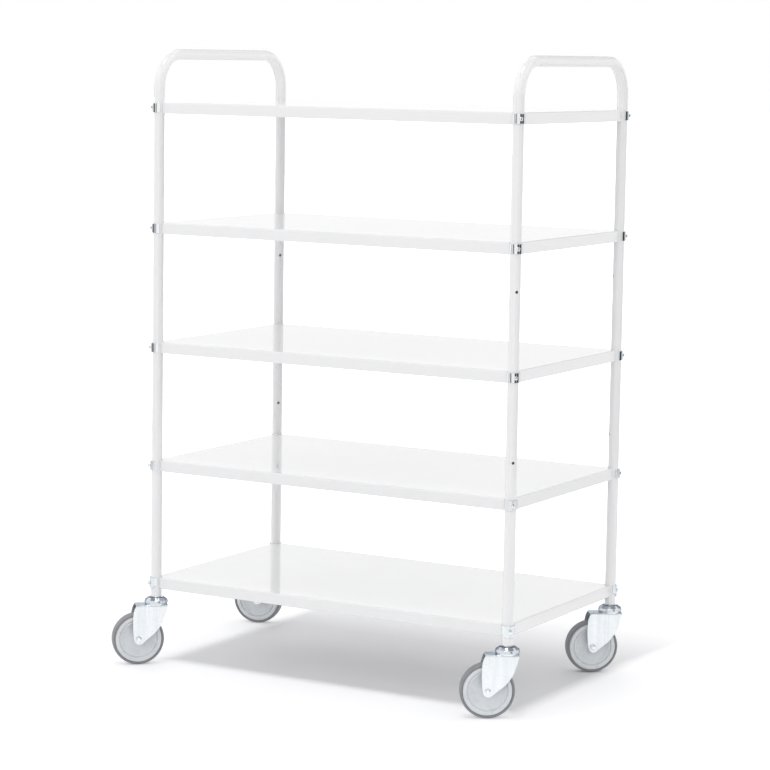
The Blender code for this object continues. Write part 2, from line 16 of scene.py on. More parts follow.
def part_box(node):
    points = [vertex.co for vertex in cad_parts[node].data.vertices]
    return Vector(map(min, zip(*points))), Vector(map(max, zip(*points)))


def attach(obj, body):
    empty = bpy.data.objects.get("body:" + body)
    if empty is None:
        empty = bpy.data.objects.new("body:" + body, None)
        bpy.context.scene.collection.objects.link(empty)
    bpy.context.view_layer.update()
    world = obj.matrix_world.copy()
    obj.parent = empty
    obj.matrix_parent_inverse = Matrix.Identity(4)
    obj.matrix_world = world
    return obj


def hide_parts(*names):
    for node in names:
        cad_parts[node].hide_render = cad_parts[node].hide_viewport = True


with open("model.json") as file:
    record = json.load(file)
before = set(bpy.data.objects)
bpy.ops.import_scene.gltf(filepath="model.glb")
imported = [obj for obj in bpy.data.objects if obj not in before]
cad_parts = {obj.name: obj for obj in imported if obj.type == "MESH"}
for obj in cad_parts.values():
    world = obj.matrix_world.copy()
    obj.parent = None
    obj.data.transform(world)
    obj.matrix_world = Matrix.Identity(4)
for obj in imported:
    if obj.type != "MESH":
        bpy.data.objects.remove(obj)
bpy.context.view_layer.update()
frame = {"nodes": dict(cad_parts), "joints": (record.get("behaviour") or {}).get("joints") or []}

# %% [markdown]
# ## Where everything is
# Places are read from the frame, never typed twice. The swivel joints give the four posts, since each
# caster turns about its post's axis. The roll joints give the axles, and the line from post to axle is
# the way that caster trails. Shelf heights come from the boxes of the CAD nodes.

# %% Read the corners, the casters and the heights
MM = 0.001
CORNERS = ("front_left", "front_right", "rear_right", "rear_left")
joints = {joint["name"]: joint for joint in frame["joints"]}
posts, caster_places, wheel_places = {}, {}, {}
for corner in CORNERS:
    x, y, _ = joints[f"swivel_{corner}"]["pos_m"]
    axle = Vector(joints[f"roll_{corner}"]["pos_m"])
    trail = Vector((axle.x - x, axle.y - y, 0))
    posts[corner] = Vector((x, y, 0))
    turn = Matrix.Rotation(math.atan2(trail.y, trail.x), 4, "Z")
    caster_places[corner] = Matrix.Translation(posts[corner]) @ turn
    wheel_places[corner] = Matrix.Translation(axle) @ turn
TRAIL = trail.length
AXLE_HEIGHT = axle.z
POST_X, POST_Y = abs(x), abs(y)
SHELVES = range(1, 6)
shelf_tops = {number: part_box(f"shelf_{number}")[1].z for number in SHELVES}
TUBE_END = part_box("end_frame_left")[0].z
HANDLE_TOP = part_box("end_frame_left")[1].z
CUP_BOTTOM, CUP_TOP = (corner.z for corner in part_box("caster_cup_front_left"))
print("posts at", POST_X, POST_Y, "trail", round(TRAIL, 4), "axle height", AXLE_HEIGHT)
print("shelf tops", [round(height, 4) for height in shelf_tops.values()])

# %% [markdown]
# ## The camera
# The photograph was taken from the front right, a little above the top shelf, with a long lens. A
# camera can be set by eye, but one fitted to measured corners is surer, and these numbers come from
# such a fit. The picture is a crop, so its optical axis isn't at the middle: the lens shift says by
# how much.

# %% Stand the camera where the photographer stood
def new_object(name, data):
    """An object in the scene that holds the data."""
    obj = bpy.data.objects.new(name, data)
    bpy.context.scene.collection.objects.link(obj)
    return obj


PICTURE = 770
SENSOR = 36.0
FOCAL_PIXELS = 2628.96
AXIS_PIXEL = (411.46, 330.44)
EYE = Vector((3.1173, -5.4026, 1.47905))
YAW, PITCH, ROLL = (math.radians(angle) for angle in (29.456, 6.046, -0.975))

forward = Vector((-math.sin(YAW) * math.cos(PITCH), math.cos(YAW) * math.cos(PITCH), -math.sin(PITCH)))
level = Vector((math.cos(YAW), math.sin(YAW), 0))
plumb = forward.cross(level)
right = math.cos(ROLL) * level + math.sin(ROLL) * plumb
down = -math.sin(ROLL) * level + math.cos(ROLL) * plumb

lens = bpy.data.cameras.new("photo_camera")
lens.sensor_width = SENSOR
lens.lens = FOCAL_PIXELS * SENSOR / PICTURE
lens.shift_x = (PICTURE / 2 - AXIS_PIXEL[0]) / PICTURE
lens.shift_y = (AXIS_PIXEL[1] - PICTURE / 2) / PICTURE
lens.clip_end = 100
camera = new_object("photo_camera", lens)
camera.matrix_world = Matrix.Translation(EYE) @ Matrix((right, -down, -forward)).transposed().to_4x4()
bpy.context.scene.camera = camera
print("lens", round(lens.lens, 1), "mm, shift", round(lens.shift_x, 4), round(lens.shift_y, 4))

# %% [markdown]
# ## Small helpers for shader nodes
# Every finish below is a graph of nodes, long to write one call at a time. So one helper adds a node
# with its settings and inputs together, and tells by its type whether an input is a value or the
# output of another node.

# %% Add a node, and start a node group
def fill(tree, node, given):
    """Give a node's inputs their values, or the sockets that feed them."""
    for key, value in given.items():
        if isinstance(value, bpy.types.NodeSocket):
            tree.links.new(value, node.inputs[key])
        else:
            node.inputs[key].default_value = value
    return node


def add(tree, kind, given=None, **settings):
    """Add a node with its settings and its inputs."""
    node = tree.nodes.new(kind)
    for key, value in settings.items():
        setattr(node, key, value)
    return fill(tree, node, given or {})


def calculate(tree, operation, first, second=0.0, third=0.0):
    """The result of a Math node."""
    return add(tree, "ShaderNodeMath", {0: first, 1: second, 2: third}, operation=operation).outputs[0]


def product(tree, first, *others):
    """Several values multiplied."""
    for other in others:
        first = calculate(tree, "MULTIPLY", first, other)
    return first


def blend_colours(tree, share, first, second, mode="MIX"):
    """The colour between two others, by a share from 0 to 1."""
    given = {0: share, 6: first, 7: second}
    return add(tree, "ShaderNodeMix", given, data_type="RGBA", blend_type=mode).outputs[2]


def rest(tree, share):
    """What a share leaves of 1."""
    return calculate(tree, "SUBTRACT", 1.0, share)


def darkened(tree, colour, share):
    """A colour made darker by a share from 0 to 1."""
    left = rest(tree, share)
    grey = add(tree, "ShaderNodeCombineColor", {0: left, 1: left, 2: left}).outputs[0]
    return blend_colours(tree, 1.0, colour, grey, "MULTIPLY")


def here_on(tree):
    """The place on the object, in metres."""
    return add(tree, "ShaderNodeTexCoord").outputs["Object"]


def noise(tree, place, scale, detail, distortion=0.0):
    """A noise that stays mostly between 0.3 and 0.7."""
    given = {"Vector": place, "Scale": scale, "Detail": detail, "Distortion": distortion}
    return add(tree, "ShaderNodeTexNoise", given).outputs["Fac"]


def spread(tree, value, low, high, new_low=0.0, new_high=1.0):
    """A value moved from one range into another, and held inside it."""
    given = {0: value, 1: low, 2: high, 3: new_low, 4: new_high}
    return add(tree, "ShaderNodeMapRange", given).outputs[0]


NOISE_RANGE = (0.3, 0.7)


def patches(tree, place, scale, detail, between=NOISE_RANGE):
    """A noise drawn out from its usual range to 0 and 1."""
    return spread(tree, noise(tree, place, scale, detail), *between)


SKIN = {"Colour": "Color", "Roughness": "Float", "Height": "Float"}


def start_group(name, inputs, outputs=SKIN):
    """An empty shader group. Inputs come with their values, where a tuple is a colour."""
    group = bpy.data.node_groups.new(name, "ShaderNodeTree")
    for label, value in inputs.items():
        kind = "Color" if isinstance(value, tuple) else "Float"
        socket = group.interface.new_socket(name=label, in_out="INPUT", socket_type=f"NodeSocket{kind}")
        socket.default_value = value
    for label, kind in outputs.items():
        group.interface.new_socket(name=label, in_out="OUTPUT", socket_type=f"NodeSocket{kind}")
    return group, group.nodes.new("NodeGroupInput").outputs, group.nodes.new("NodeGroupOutput")


def use_group(tree, group, **values):
    """A group placed in a material. Its inputs are named with underscores for spaces."""
    given = {key.replace("_", " "): value for key, value in values.items()}
    return add(tree, "ShaderNodeGroup", given, node_tree=group).outputs


def new_finish(name):
    """A material, its node tree and its Principled BSDF."""
    finish = bpy.data.materials.new(name)
    finish.use_nodes = True
    tree = finish.node_tree
    return finish, tree, tree.nodes["Principled BSDF"]


def bumped(tree, height, depth):
    """The normal where a height that runs from 0 to 1 raises the surface by a depth in metres."""
    given = {"Height": height, "Distance": depth, "Strength": 1.0}
    return add(tree, "ShaderNodeBump", given).outputs["Normal"]


# %% [markdown]
# ## Shared effect: the skin of a powder coat
# Powder paint melts and flows in an oven, and sets with a faint ripple about a millimetre across,
# called orange peel. It can be modelled, painted or computed. Noise in object space is computed, has
# no seams, and keeps its real size on tube and tray alike. Slower noises let the tone and the gloss
# drift a little, because no oven heats evenly.

# %% Build the powder coat group
coat_skin, source, result = start_group("powder_coat_skin", {
    "Colour": (0.8, 0.8, 0.8, 1), "Tone drift": 0.02, "Gloss": 0.3, "Gloss drift": 0.05,
    "Peel per metre": 700.0,
})
tree = coat_skin
here = here_on(tree)
DRIFT_PER_METRE, HAZE_PER_METRE = 9.0, 160.0
drift = product(tree, patches(tree, here, DRIFT_PER_METRE, 3.0), source["Tone drift"])
haze = product(tree, patches(tree, here, HAZE_PER_METRE, 3.0), source["Gloss drift"])
fill(tree, result, {
    "Colour": darkened(tree, source["Colour"], drift),
    "Roughness": calculate(tree, "ADD", source["Gloss"], haze),
    "Height": noise(tree, here, source["Peel per metre"], 2.0),
})
print(coat_skin.name, "has", len(tree.nodes), "nodes")

# %% [markdown]
# ## Shared effect: rubbed edges
# Paint thins over a sharp edge and plating dulls there, so edges read a touch darker or lighter than
# faces. The Bevel node compares the true normal with one rounded over a small radius: where the two
# differ there is an edge. Pointiness would cost less, but it smears over long quads like these.

# %% Build the edge group
inputs = {"Radius": 0.001, "Patchiness": 0.6, "Amount": 0.5}
edge_rub, source, result = start_group("edge_rub", inputs, {"Mask": "Float"})
tree = edge_rub
softened = add(tree, "ShaderNodeBevel", {"Radius": source["Radius"]}, samples=4).outputs["Normal"]
normals = {0: softened, 1: add(tree, "ShaderNodeNewGeometry").outputs["Normal"]}
agreement = add(tree, "ShaderNodeVectorMath", normals, operation="DOT_PRODUCT").outputs["Value"]
EDGE_AGREEMENT = (0.98, 0.8)
CHIPS_PER_METRE, CHIP_RANGE = 120.0, (0.4, 0.6)
edge = spread(tree, agreement, *EDGE_AGREEMENT)
chips = patches(tree, here_on(tree), CHIPS_PER_METRE, 4.0, CHIP_RANGE)
gone = product(tree, chips, source["Patchiness"])
fill(tree, result, {"Mask": product(tree, edge, rest(tree, gone), source["Amount"])})
print(edge_rub.name, "has", len(tree.nodes), "nodes")

# %% [markdown]
# ## Shared effect: zinc plate
# The clamps and casters are pressed from rolled sheet and plated with bright zinc. The sheet keeps
# fine streaks from the rollers. Soft bands stretched upright darken the tone: partly the plate's own
# mottle, partly painted reflection of upright stripes of studio light. Both are noise, one squeezed
# along Z and one stretched along it. They shift the tint a little towards blue and the gloss a little
# towards satin, which is what tells zinc from chrome.

# %% Build the zinc group
zinc_plate, source, result = start_group("zinc_plate", {
    "Colour": (0.8, 0.82, 0.85, 1), "Cloud colour": (0.7, 0.75, 0.82, 1), "Clouds": 0.4,
    "Gloss": 0.2, "Streaks": 0.06,
})
tree = zinc_plate
STREAKS_PER_METRE, BANDS_PER_METRE = (60.0, 60.0, 1400.0), (130.0, 130.0, 9.0)
here = here_on(tree)
squeezed = add(tree, "ShaderNodeMapping", {"Vector": here, "Scale": STREAKS_PER_METRE}).outputs["Vector"]
streak = noise(tree, squeezed, 1.0, 3.0)
# Upright bands of a darker, bluer tone: partly the plate's own mottle, partly painted reflection of upright
# stripes.
upright = add(tree, "ShaderNodeMapping", {"Vector": here, "Scale": BANDS_PER_METRE}).outputs["Vector"]
share = product(tree, patches(tree, upright, 1.0, 4.0, (0.35, 0.65)), source["Clouds"])
satin = product(tree, spread(tree, streak, *NOISE_RANGE), source["Streaks"])
fill(tree, result, {
    "Colour": blend_colours(tree, share, source["Colour"], source["Cloud colour"]),
    "Roughness": calculate(tree, "ADD", source["Gloss"], satin),
    "Height": streak,
})
print(zinc_plate.name, "has", len(tree.nodes), "nodes")

# %% [markdown]
# ## Shared effect: moulded skin
# Wheels and tyres come out of steel moulds, whose surface was eroded to a fine, even grain. The melt
# also leaves slow swirls where it flowed. The group gives both, and scuffs for the tread. Where that
# is comes in as an input: the tyre's mesh carries it as an attribute, and other pieces leave it at zero.

# %% Build the moulded skin group
moulded_skin, source, result = start_group("moulded_skin", {
    "Colour": (0.3, 0.3, 0.32, 1), "Scuff colour": (0.5, 0.5, 0.5, 1), "Swirls": 0.1, "Gloss": 0.45,
    "Tread": 0.0, "Scuffs": 0.5,
})
tree = moulded_skin
SCUFFS_DULL_BY = 0.3
FLOW_PER_METRE, MARKS_PER_METRE, GRAIN_PER_METRE = 45.0, 260.0, 1500.0
here = here_on(tree)
flow = noise(tree, here, FLOW_PER_METRE, 4.0, distortion=1.5)
swirl = product(tree, spread(tree, flow, *NOISE_RANGE), source["Swirls"])
toned = darkened(tree, source["Colour"], swirl)
marks = patches(tree, here, MARKS_PER_METRE, 5.0, (0.45, 0.7))
grain = {"Vector": here, "Scale": GRAIN_PER_METRE}
worn = product(tree, source["Tread"], marks, source["Scuffs"])
fill(tree, result, {
    "Colour": blend_colours(tree, worn, toned, source["Scuff colour"]),
    "Roughness": calculate(tree, "ADD", source["Gloss"], product(tree, worn, SCUFFS_DULL_BY)),
    "Height": add(tree, "ShaderNodeTexVoronoi", grain).outputs["Distance"],
})
print(moulded_skin.name, "has", len(tree.nodes), "nodes")

# %% [markdown]
# ## The finishes
# Each real finish now takes a few lines: place a group, add rubbed edges, and feed the shader.
# Powder paint has a clear, glossy skin of its own resin. The trays shine most and mirror the posts
# that stand on them, so their coat is full. The zinc's specular tint darkens its reflection and turns
# it blue where the metal is seen edge on: a painted dark reflection, darkest on the cups and races.

# %% Mix the two white paints
PEEL_DEPTH = 0.001 * MM
THIN_PAINT = (0.62, 0.62, 0.63, 1)


def white_paint(name, colour, gloss, clear_coat):
    """Powder paint, a little greyer where it is thin over an edge."""
    finish, tree, shader = new_finish(name)
    skin = use_group(
        tree, coat_skin, Colour=colour, Tone_drift=0.015, Gloss=gloss, Gloss_drift=0.04, Peel_per_metre=650.0
    )
    rubbed = use_group(tree, edge_rub, Radius=0.8 * MM, Patchiness=0.7, Amount=0.35)["Mask"]
    fill(tree, shader, {
        "Base Color": blend_colours(tree, rubbed, skin["Colour"], THIN_PAINT),
        "Roughness": skin["Roughness"],
        "IOR": 1.5,
        "Coat Weight": clear_coat,
        "Coat Roughness": 0.04,
        "Normal": bumped(tree, skin["Height"], PEEL_DEPTH),
    })
    return finish


tube_paint = white_paint("white_tube_paint", (0.92, 0.92, 0.925, 1), 0.12, 0.8)
tray_paint = white_paint("white_tray_paint", (0.90, 0.90, 0.905, 1), 0.1, 1.0)
print("paints:", tube_paint.name, tray_paint.name)

# %% Mix the zinc of the clamps and of the casters
RUBBED_ZINC = (0.86, 0.87, 0.88, 1)
RUBBING_DULLS_BY = 0.2
STREAK_DEPTH = 0.004 * MM


def bright_zinc(name, gloss, streaks, *tones):
    """Plated steel, lighter and duller along its edges. Its tones are plain, banded and seen edge on. The
    bands are partly mottle and partly painted reflection, and the edge-on tone is a painted dark reflection.
    """
    finish, tree, shader = new_finish(name)
    colour, mottle_and_reflection, painted_edge_reflection = ((*tone, 1) for tone in tones)
    plate = use_group(
        tree, zinc_plate, Colour=colour, Cloud_colour=mottle_and_reflection, Clouds=0.5, Gloss=gloss, Streaks=streaks
    )
    rubbed = use_group(tree, edge_rub, Radius=0.5 * MM, Patchiness=0.5, Amount=0.4)["Mask"]
    fill(tree, shader, {
        "Base Color": blend_colours(tree, rubbed, plate["Colour"], RUBBED_ZINC),
        "Roughness": calculate(tree, "ADD", plate["Roughness"], product(tree, rubbed, RUBBING_DULLS_BY)),
        "Metallic": 1.0,
        "Specular Tint": painted_edge_reflection,
        "Normal": bumped(tree, plate["Height"], STREAK_DEPTH),
    })
    return finish


# The last tone of each zinc darkens its reflection seen edge on: a painted dark reflection, darkest on the
# cups and races.
clamp_zinc, caster_zinc, race_zinc = (bright_zinc(*given) for given in (
    ("bright_clamp_zinc", 0.07, 0.04, (0.93, 0.95, 0.96), (0.84, 0.87, 0.90), (0.6, 0.65, 0.72)),
    ("blue_caster_zinc", 0.20, 0.10, (0.90, 0.925, 0.935), (0.72, 0.79, 0.82), (0.6, 0.66, 0.74)),
    ("polished_race_zinc", 0.06, 0.04, (0.84, 0.88, 0.92), (0.74, 0.80, 0.86), (0.09, 0.13, 0.22)),
))
print("metals:", clamp_zinc.name, caster_zinc.name, race_zinc.name)

# %% Mix the wheel plastic and the tyre rubber
TREAD = "tread"


def moulded(name, colour, scuff, gloss, scuffs, grain_depth, coat):
    """Moulded plastic or rubber with an eroded grain. Its edges wear to the colour of a scuff."""
    finish, tree, shader = new_finish(name)
    tread = add(tree, "ShaderNodeAttribute", attribute_name=TREAD).outputs["Fac"]
    skin = use_group(
        tree, moulded_skin, Colour=colour, Scuff_colour=scuff, Gloss=gloss, Tread=tread, Scuffs=scuffs
    )
    rubbed = use_group(tree, edge_rub, Radius=0.6 * MM, Patchiness=0.6, Amount=0.3)["Mask"]
    fill(tree, shader, {
        "Base Color": blend_colours(tree, rubbed, skin["Colour"], scuff),
        "Roughness": skin["Roughness"],
        "Coat Weight": coat,
        "Coat Roughness": 0.15,
        "Normal": bumped(tree, skin["Height"], grain_depth),
    })
    return finish


PLASTIC, WORN_PLASTIC = (0.78, 0.81, 0.835, 1), (0.86, 0.88, 0.89, 1)
RUBBER, WORN_RUBBER = (0.28, 0.285, 0.30, 1), (0.40, 0.405, 0.41, 1)
wheel_plastic = moulded("grey_wheel_plastic", PLASTIC, WORN_PLASTIC, 0.3, 0.0, 0.008 * MM, 0.6)
tyre_rubber = moulded("grey_tyre_rubber", RUBBER, WORN_RUBBER, 0.5, 0.35, 0.02 * MM, 0.0)
print("moulded:", wheel_plastic.name, tyre_rubber.name)

# %% [markdown]
# ## Small helpers for meshes
# A lathe shape, a hexagon and a strap are all lists of points and faces. The helpers below return such
# lists, and one function joins any number of them into a mesh. Corners of an outline are swapped for
# short arcs, because a real edge is never razor sharp and a rounded one catches the light.

# %% Round the corners of an outline, and join shapes into a mesh
SHARP_EDGE = math.radians(38)


def from_mm(points, across=0.0, up=0.0):
    """Points given in millimetres from a spot that is given in metres."""
    return [(across + x * MM, up + y * MM) for x, y in points]


def rounded(points, radius, steps=5, closed=True):
    """An outline with each corner turned into an arc. Radius is one number, or one for each point."""
    radii = [radius] * len(points) if isinstance(radius, (int, float)) else radius
    outline = []
    for i, (point, wanted) in enumerate(zip(points, radii)):
        here = Vector(point)
        before = Vector(points[i - 1]) - here
        after = Vector(points[(i + 1) % len(points)]) - here
        if wanted == 0 or (not closed and i in (0, len(points) - 1)):
            outline.append(tuple(here))
            continue
        half = before.angle(after) / 2
        reach = min(wanted / math.tan(half), 0.49 * min(before.length, after.length))
        inward = (before.normalized() + after.normalized()).normalized()
        centre = here + inward * reach / math.cos(half)
        start = here + before.normalized() * reach - centre
        end = here + after.normalized() * reach - centre
        turned = (start.slerp(end, step / steps) for step in range(steps + 1))
        outline += [tuple(centre + way * start.length) for way in turned]
    return outline


def arc(centre, radius, start, end, steps):
    """Points of an arc, both ends included. Angles are in degrees."""
    angles = (math.radians(start + (end - start) * i / steps) for i in range(steps + 1))
    return [(centre[0] + radius * math.cos(angle), centre[1] + radius * math.sin(angle)) for angle in angles]


def rows_of_faces(rows, loop):
    """Quads between rows of point numbers, each row a closed ring. A loop joins the last to the first."""
    faces = []
    for lower, upper in zip(rows, rows[1:] + (rows[:1] if loop else [])):
        for i in range(len(lower)):
            j = (i + 1) % len(lower)
            corners = []
            for corner in (lower[i], lower[j], upper[j], upper[i]):
                if corner not in corners:
                    corners.append(corner)
            if len(corners) > 2:
                faces.append(corners)
    return faces


def lathe(profile, sides=96, loop=False):
    """Turn (radius, height) points about Z. A point on the axis closes the end of the shape."""
    points, rows = [], []
    for radius, height in profile:
        first = len(points)
        count = 1 if radius == 0 else sides
        for i in range(count):
            angle = math.tau * i / sides
            points.append((radius * math.cos(angle), radius * math.sin(angle), height))
        rows.append([first] * sides if radius == 0 else list(range(first, first + sides)))
    return points, rows_of_faces(rows, loop)


def rod(radius, low, high, sides):
    """A plain cylinder about Z."""
    return lathe([(0, low), (radius, low), (radius, high), (0, high)], sides)


def stack(rings, capped=True, loop=False):
    """Skin over rings of points that follow one another, with a cap at both ends or joined in a loop."""
    points, rows = [], []
    for ring in rings:
        rows.append(list(range(len(points), len(points) + len(ring))))
        points += ring
    faces = rows_of_faces(rows, loop)
    if capped:
        faces += [rows[0][::-1], rows[-1]]
    return points, faces


def join(name, shapes, turn=Matrix.Identity(4)):
    """One mesh out of several shapes, with its faces outwards, smooth but for its sharp edges."""
    bm = bmesh.new()
    for points, faces in shapes:
        corners = [bm.verts.new(turn @ Vector(point)) for point in points]
        for face in faces:
            bm.faces.new([corners[i] for i in face])
    bmesh.ops.recalc_face_normals(bm, faces=bm.faces)
    mesh = bpy.data.meshes.new(name)
    bm.to_mesh(mesh)
    bm.free()
    mesh.shade_smooth()
    mesh.set_sharp_from_angle(angle=SHARP_EDGE)
    return mesh


# %% [markdown]
# ## Working with modifiers
# Blender's modifiers do the hard parts: Solidify turns a skin into sheet metal, Boolean cuts holes,
# and Bevel breaks sharp edges. Left live, they would be computed anew for each of twenty clamps. Here
# each shape is worked out once on a bench object, kept as a plain mesh, and copied to all its places.

# %% Run a row of modifiers on a mesh
def work(mesh, *steps):
    """The mesh after a row of modifiers, each a kind and its settings. A mesh setting is a Boolean's tool."""
    piece = new_object("bench", mesh)
    tools = []
    for kind, settings in steps:
        modifier = piece.modifiers.new(kind, kind)
        for key, value in settings.items():
            if isinstance(value, bpy.types.Mesh):
                value = new_object("tool", value)
                tools.append(value)
            setattr(modifier, key, value)
    bpy.context.view_layer.update()
    worked = piece.evaluated_get(bpy.context.evaluated_depsgraph_get())
    result = bpy.data.meshes.new_from_object(worked)
    result.name = mesh.name
    for obj in [piece, *tools]:
        bpy.data.objects.remove(obj)
    return result


def cut(tool):
    return "BOOLEAN", {"object": tool, "operation": "DIFFERENCE", "solver": "EXACT"}


def keep_inside(tool):
    return "BOOLEAN", {"object": tool, "operation": "INTERSECT", "solver": "EXACT"}


def break_edges(width, segments=2):
    return "BEVEL", {"width": width, "segments": segments, "limit_method": "ANGLE", "angle_limit": SHARP_EDGE}


FLAT_STAYS_FLAT = ("WEIGHTED_NORMAL", {"keep_sharp": True})


def show(name, mesh, finish, slot, body, place, *stands_for):
    """Put a copy of a finished mesh in its place, on its body, in its finish."""
    mesh = mesh.copy()
    mesh.name = name
    mesh.transform(place)
    mesh.materials.append(finish)
    obj = new_object(name, mesh)
    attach(obj, body)
    if stands_for:
        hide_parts(*stands_for)
    return obj


# %% [markdown]
# ## End frames
# Each end of the cart is one round tube, bent over at the top into a push handle. A curve with a round
# bevel would draw it without a wall, so rings are set along the centre line twice, outside and in, and
# joined at the open ends. The screws pass through it on the diagonal, and there are spare holes at the
# thirds of the height, for a cart with one shelf less.

# %% Draw the centre line of a handle
TUBE_RADIUS = 13 * MM
TUBE_WALL = 1.5 * MM
BEND_RADIUS = 80 * MM
BEND_STEPS = 28
TUBE_SIDES = 56
HANDLE_AXIS = HANDLE_TOP - TUBE_RADIUS
BEND_START = HANDLE_AXIS - BEND_RADIUS
BEND_Y = POST_Y - BEND_RADIUS


def handle_line():
    """(Y, Z) points up the front post, over the handle and down the rear post."""
    front = [(-POST_Y, TUBE_END)] + arc((-BEND_Y, BEND_START), BEND_RADIUS, 180, 90, BEND_STEPS)
    return front + [(-y, z) for y, z in reversed(front)]


def nearest_on_line(y, z):
    """The point of the centre line that a point of the tube belongs to."""
    if z < BEND_START:
        return math.copysign(POST_Y, y), z
    if abs(y) < BEND_Y:
        return y, HANDLE_AXIS
    centre = Vector((math.copysign(BEND_Y, y), BEND_START))
    return centre + (Vector((y, z)) - centre).normalized() * BEND_RADIUS


print("centre line of a handle:", len(handle_line()), "points")

# %% Set rings along it, and drill the tube
def tube_rings(radius):
    """Rings of points round the centre line."""
    line = [Vector(point) for point in handle_line()]
    rings = []
    for i, point in enumerate(line):
        along = (line[min(i + 1, len(line) - 1)] - line[max(i - 1, 0)]).normalized()
        if i in (0, len(line) - 1):
            along = Vector((0, 1 if i == 0 else -1))
        side = Vector((along.y, -along.x))
        ring = []
        for step in range(TUBE_SIDES):
            angle = math.tau * step / TUBE_SIDES
            spot = point + side * radius * math.cos(angle)
            ring.append((radius * math.sin(angle), spot.x, spot.y))
        rings.append(ring)
    return rings


SCREW_RADIUS = 3 * MM
HOLE_RADIUS = 3.3 * MM
SCREW_BELOW_SHELF = 13.5 * MM
screw_heights = [height - SCREW_BELOW_SHELF for height in shelf_tops.values()]
spare_heights = [screw_heights[0] + (screw_heights[-1] - screw_heights[0]) * third / 3 for third in (1, 2)]


def drills(side):
    """Rods through both posts of an end frame, on the diagonal."""
    shapes = []
    length = 3 * TUBE_RADIUS
    for y in (-POST_Y, POST_Y):
        diagonal = Vector((side, math.copysign(1, y), 0))
        lay = Matrix.Translation((0, y, 0)) @ diagonal.to_track_quat("Z", "Y").to_matrix().to_4x4()
        for height in screw_heights + spare_heights:
            points, faces = rod(HOLE_RADIUS, -length, length, 32)
            rise = Matrix.Translation((0, 0, height))
            shapes.append(([rise @ lay @ Vector(point) for point in points], faces))
    return join("frame_drills", shapes)


ON_THE_SKIN = 0.9


def true_round(mesh):
    """Give the tube the exact normals of a round one, which a drilled and faceted mesh can't have."""
    normals = []
    for polygon in mesh.polygons:
        for index in polygon.vertices:
            x, y, z = mesh.vertices[index].co
            near_y, near_z = nearest_on_line(y, z)
            out = Vector((x, y - near_y, z - near_z)).normalized()
            facing = polygon.normal.dot(out)
            normals.append(out * math.copysign(1, facing) if abs(facing) > ON_THE_SKIN else polygon.normal)
    mesh.normals_split_custom_set(normals)
    return mesh


def frame_mesh(side):
    rings = tube_rings(TUBE_RADIUS) + tube_rings(TUBE_RADIUS - TUBE_WALL)[::-1]
    whole = join(f"end_frame_tube_{side}", [stack(rings, capped=False, loop=True)])
    return true_round(work(whole, cut(drills(side))))


for side, word in ((-1, "left"), (1, "right")):
    tube = frame_mesh(side)
    name = f"end_frame_{word}"
    place = Matrix.Translation((side * POST_X, 0, 0))
    show(f"{name}_tube", tube, tube_paint, "powder_coat", "cart", place, name)
    print(name, len(tube.polygons), "faces")

# %% [markdown]
# ## Trays
# A tray is one sheet of 1.2 mm steel. Its edge is folded down into a 27 mm lip and in again into a
# hem, and each corner is drawn in round its post. The same outline serves for every height of the
# fold: only its inset changes. Rings of that outline make the skin, Solidify gives the sheet
# its thickness, and weighted normals keep the big flat deck flat right up to the rounded edge.

# %% Lay out the edge of a tray
SHEET = 1.2 * MM
LIP = 27 * MM
HEM = 12 * MM
TOP_FOLD = 3 * MM
HEM_FOLD = 1.6 * MM
BEYOND_POST = 5 * MM
CORNER_HOLLOW = 13.5 * MM
HOLLOW_STEPS = 20
FOLD_STEPS = 6


def tray_outline(inset):
    """The tray's edge seen from above, drawn in by the inset."""
    radius = CORNER_HOLLOW + inset
    reach = math.degrees(math.asin((BEYOND_POST - inset) / radius))
    outline = []
    for x, y, flip in ((-1, -1, True), (1, -1, False), (1, 1, True), (-1, 1, False)):
        hollow = arc((0, 0), radius, -reach, 90 + reach, HOLLOW_STEPS)
        for u, v in reversed(hollow) if flip else hollow:
            outline.append((x * (POST_X - u), y * (POST_Y - v)))
    return outline


def tray_sections():
    """(Inset, height) steps from the deck, round the fold, down the lip and in along the hem."""
    fold = arc((TOP_FOLD, -TOP_FOLD), TOP_FOLD, 90, 180, FOLD_STEPS)
    hem = arc((HEM_FOLD, HEM_FOLD - LIP), HEM_FOLD, 180, 270, 3)
    return fold + hem + [(HEM, -LIP)]


def tray_mesh():
    rings = [[(x, y, height) for x, y in tray_outline(inset)] for inset, height in tray_sections()]
    points, faces = stack(rings, capped=False)
    faces.append(list(range(len(rings[0]))))
    skin = join("tray", [(points, faces)])
    deck = max(skin.polygons, key=lambda polygon: polygon.area)
    if deck.normal.z < 0:
        skin.flip_normals()
    sheet = work(skin, ("SOLIDIFY", {"thickness": SHEET, "offset": -1, "use_even_offset": True}))
    sheet.set_sharp_from_angle(angle=SHARP_EDGE)
    return work(sheet, FLAT_STAYS_FLAT)


tray = tray_mesh()
for number, height in shelf_tops.items():
    place = Matrix.Translation((0, 0, height))
    show(f"tray_{number}", tray, tray_paint, "shelf_coat", "cart", place, f"shelf_{number}")
print("tray:", len(tray.polygons), "faces, used", len(shelf_tops), "times")

# %% [markdown]
# ## Clamps
# A zinc strap hugs the outer half of each post, and a screw on the diagonal pulls it and the tray's
# corner together. Under the screw the strap has a flat nose that stands off the tube, so it can give a
# little. A curve modifier could bend it, but its inner and outer lines are simple: a flat nose, a
# straight shoulder that touches the circle, and an arc. Both are drawn, and quads fill between them.
# The bottom shelf has a taller bracket without a nose, whose lower corners are cut away.

# %% Bend a strap round a post
STRAP_GAP = 0.3 * MM
STRAP_STEPS = 12
STRAP_REACH = 87
STRAP_SHEET, BRACKET_SHEET = 2 * MM, 2.5 * MM
STRAP_HEIGHT, BRACKET_HEIGHT = 22 * MM, 27 * MM
STRAP_EDGE = 0.45 * MM
NOSE_HALF = 3 * MM
NOSE_RISE = 1.7 * MM
NOSE_BEND = 1.2 * MM


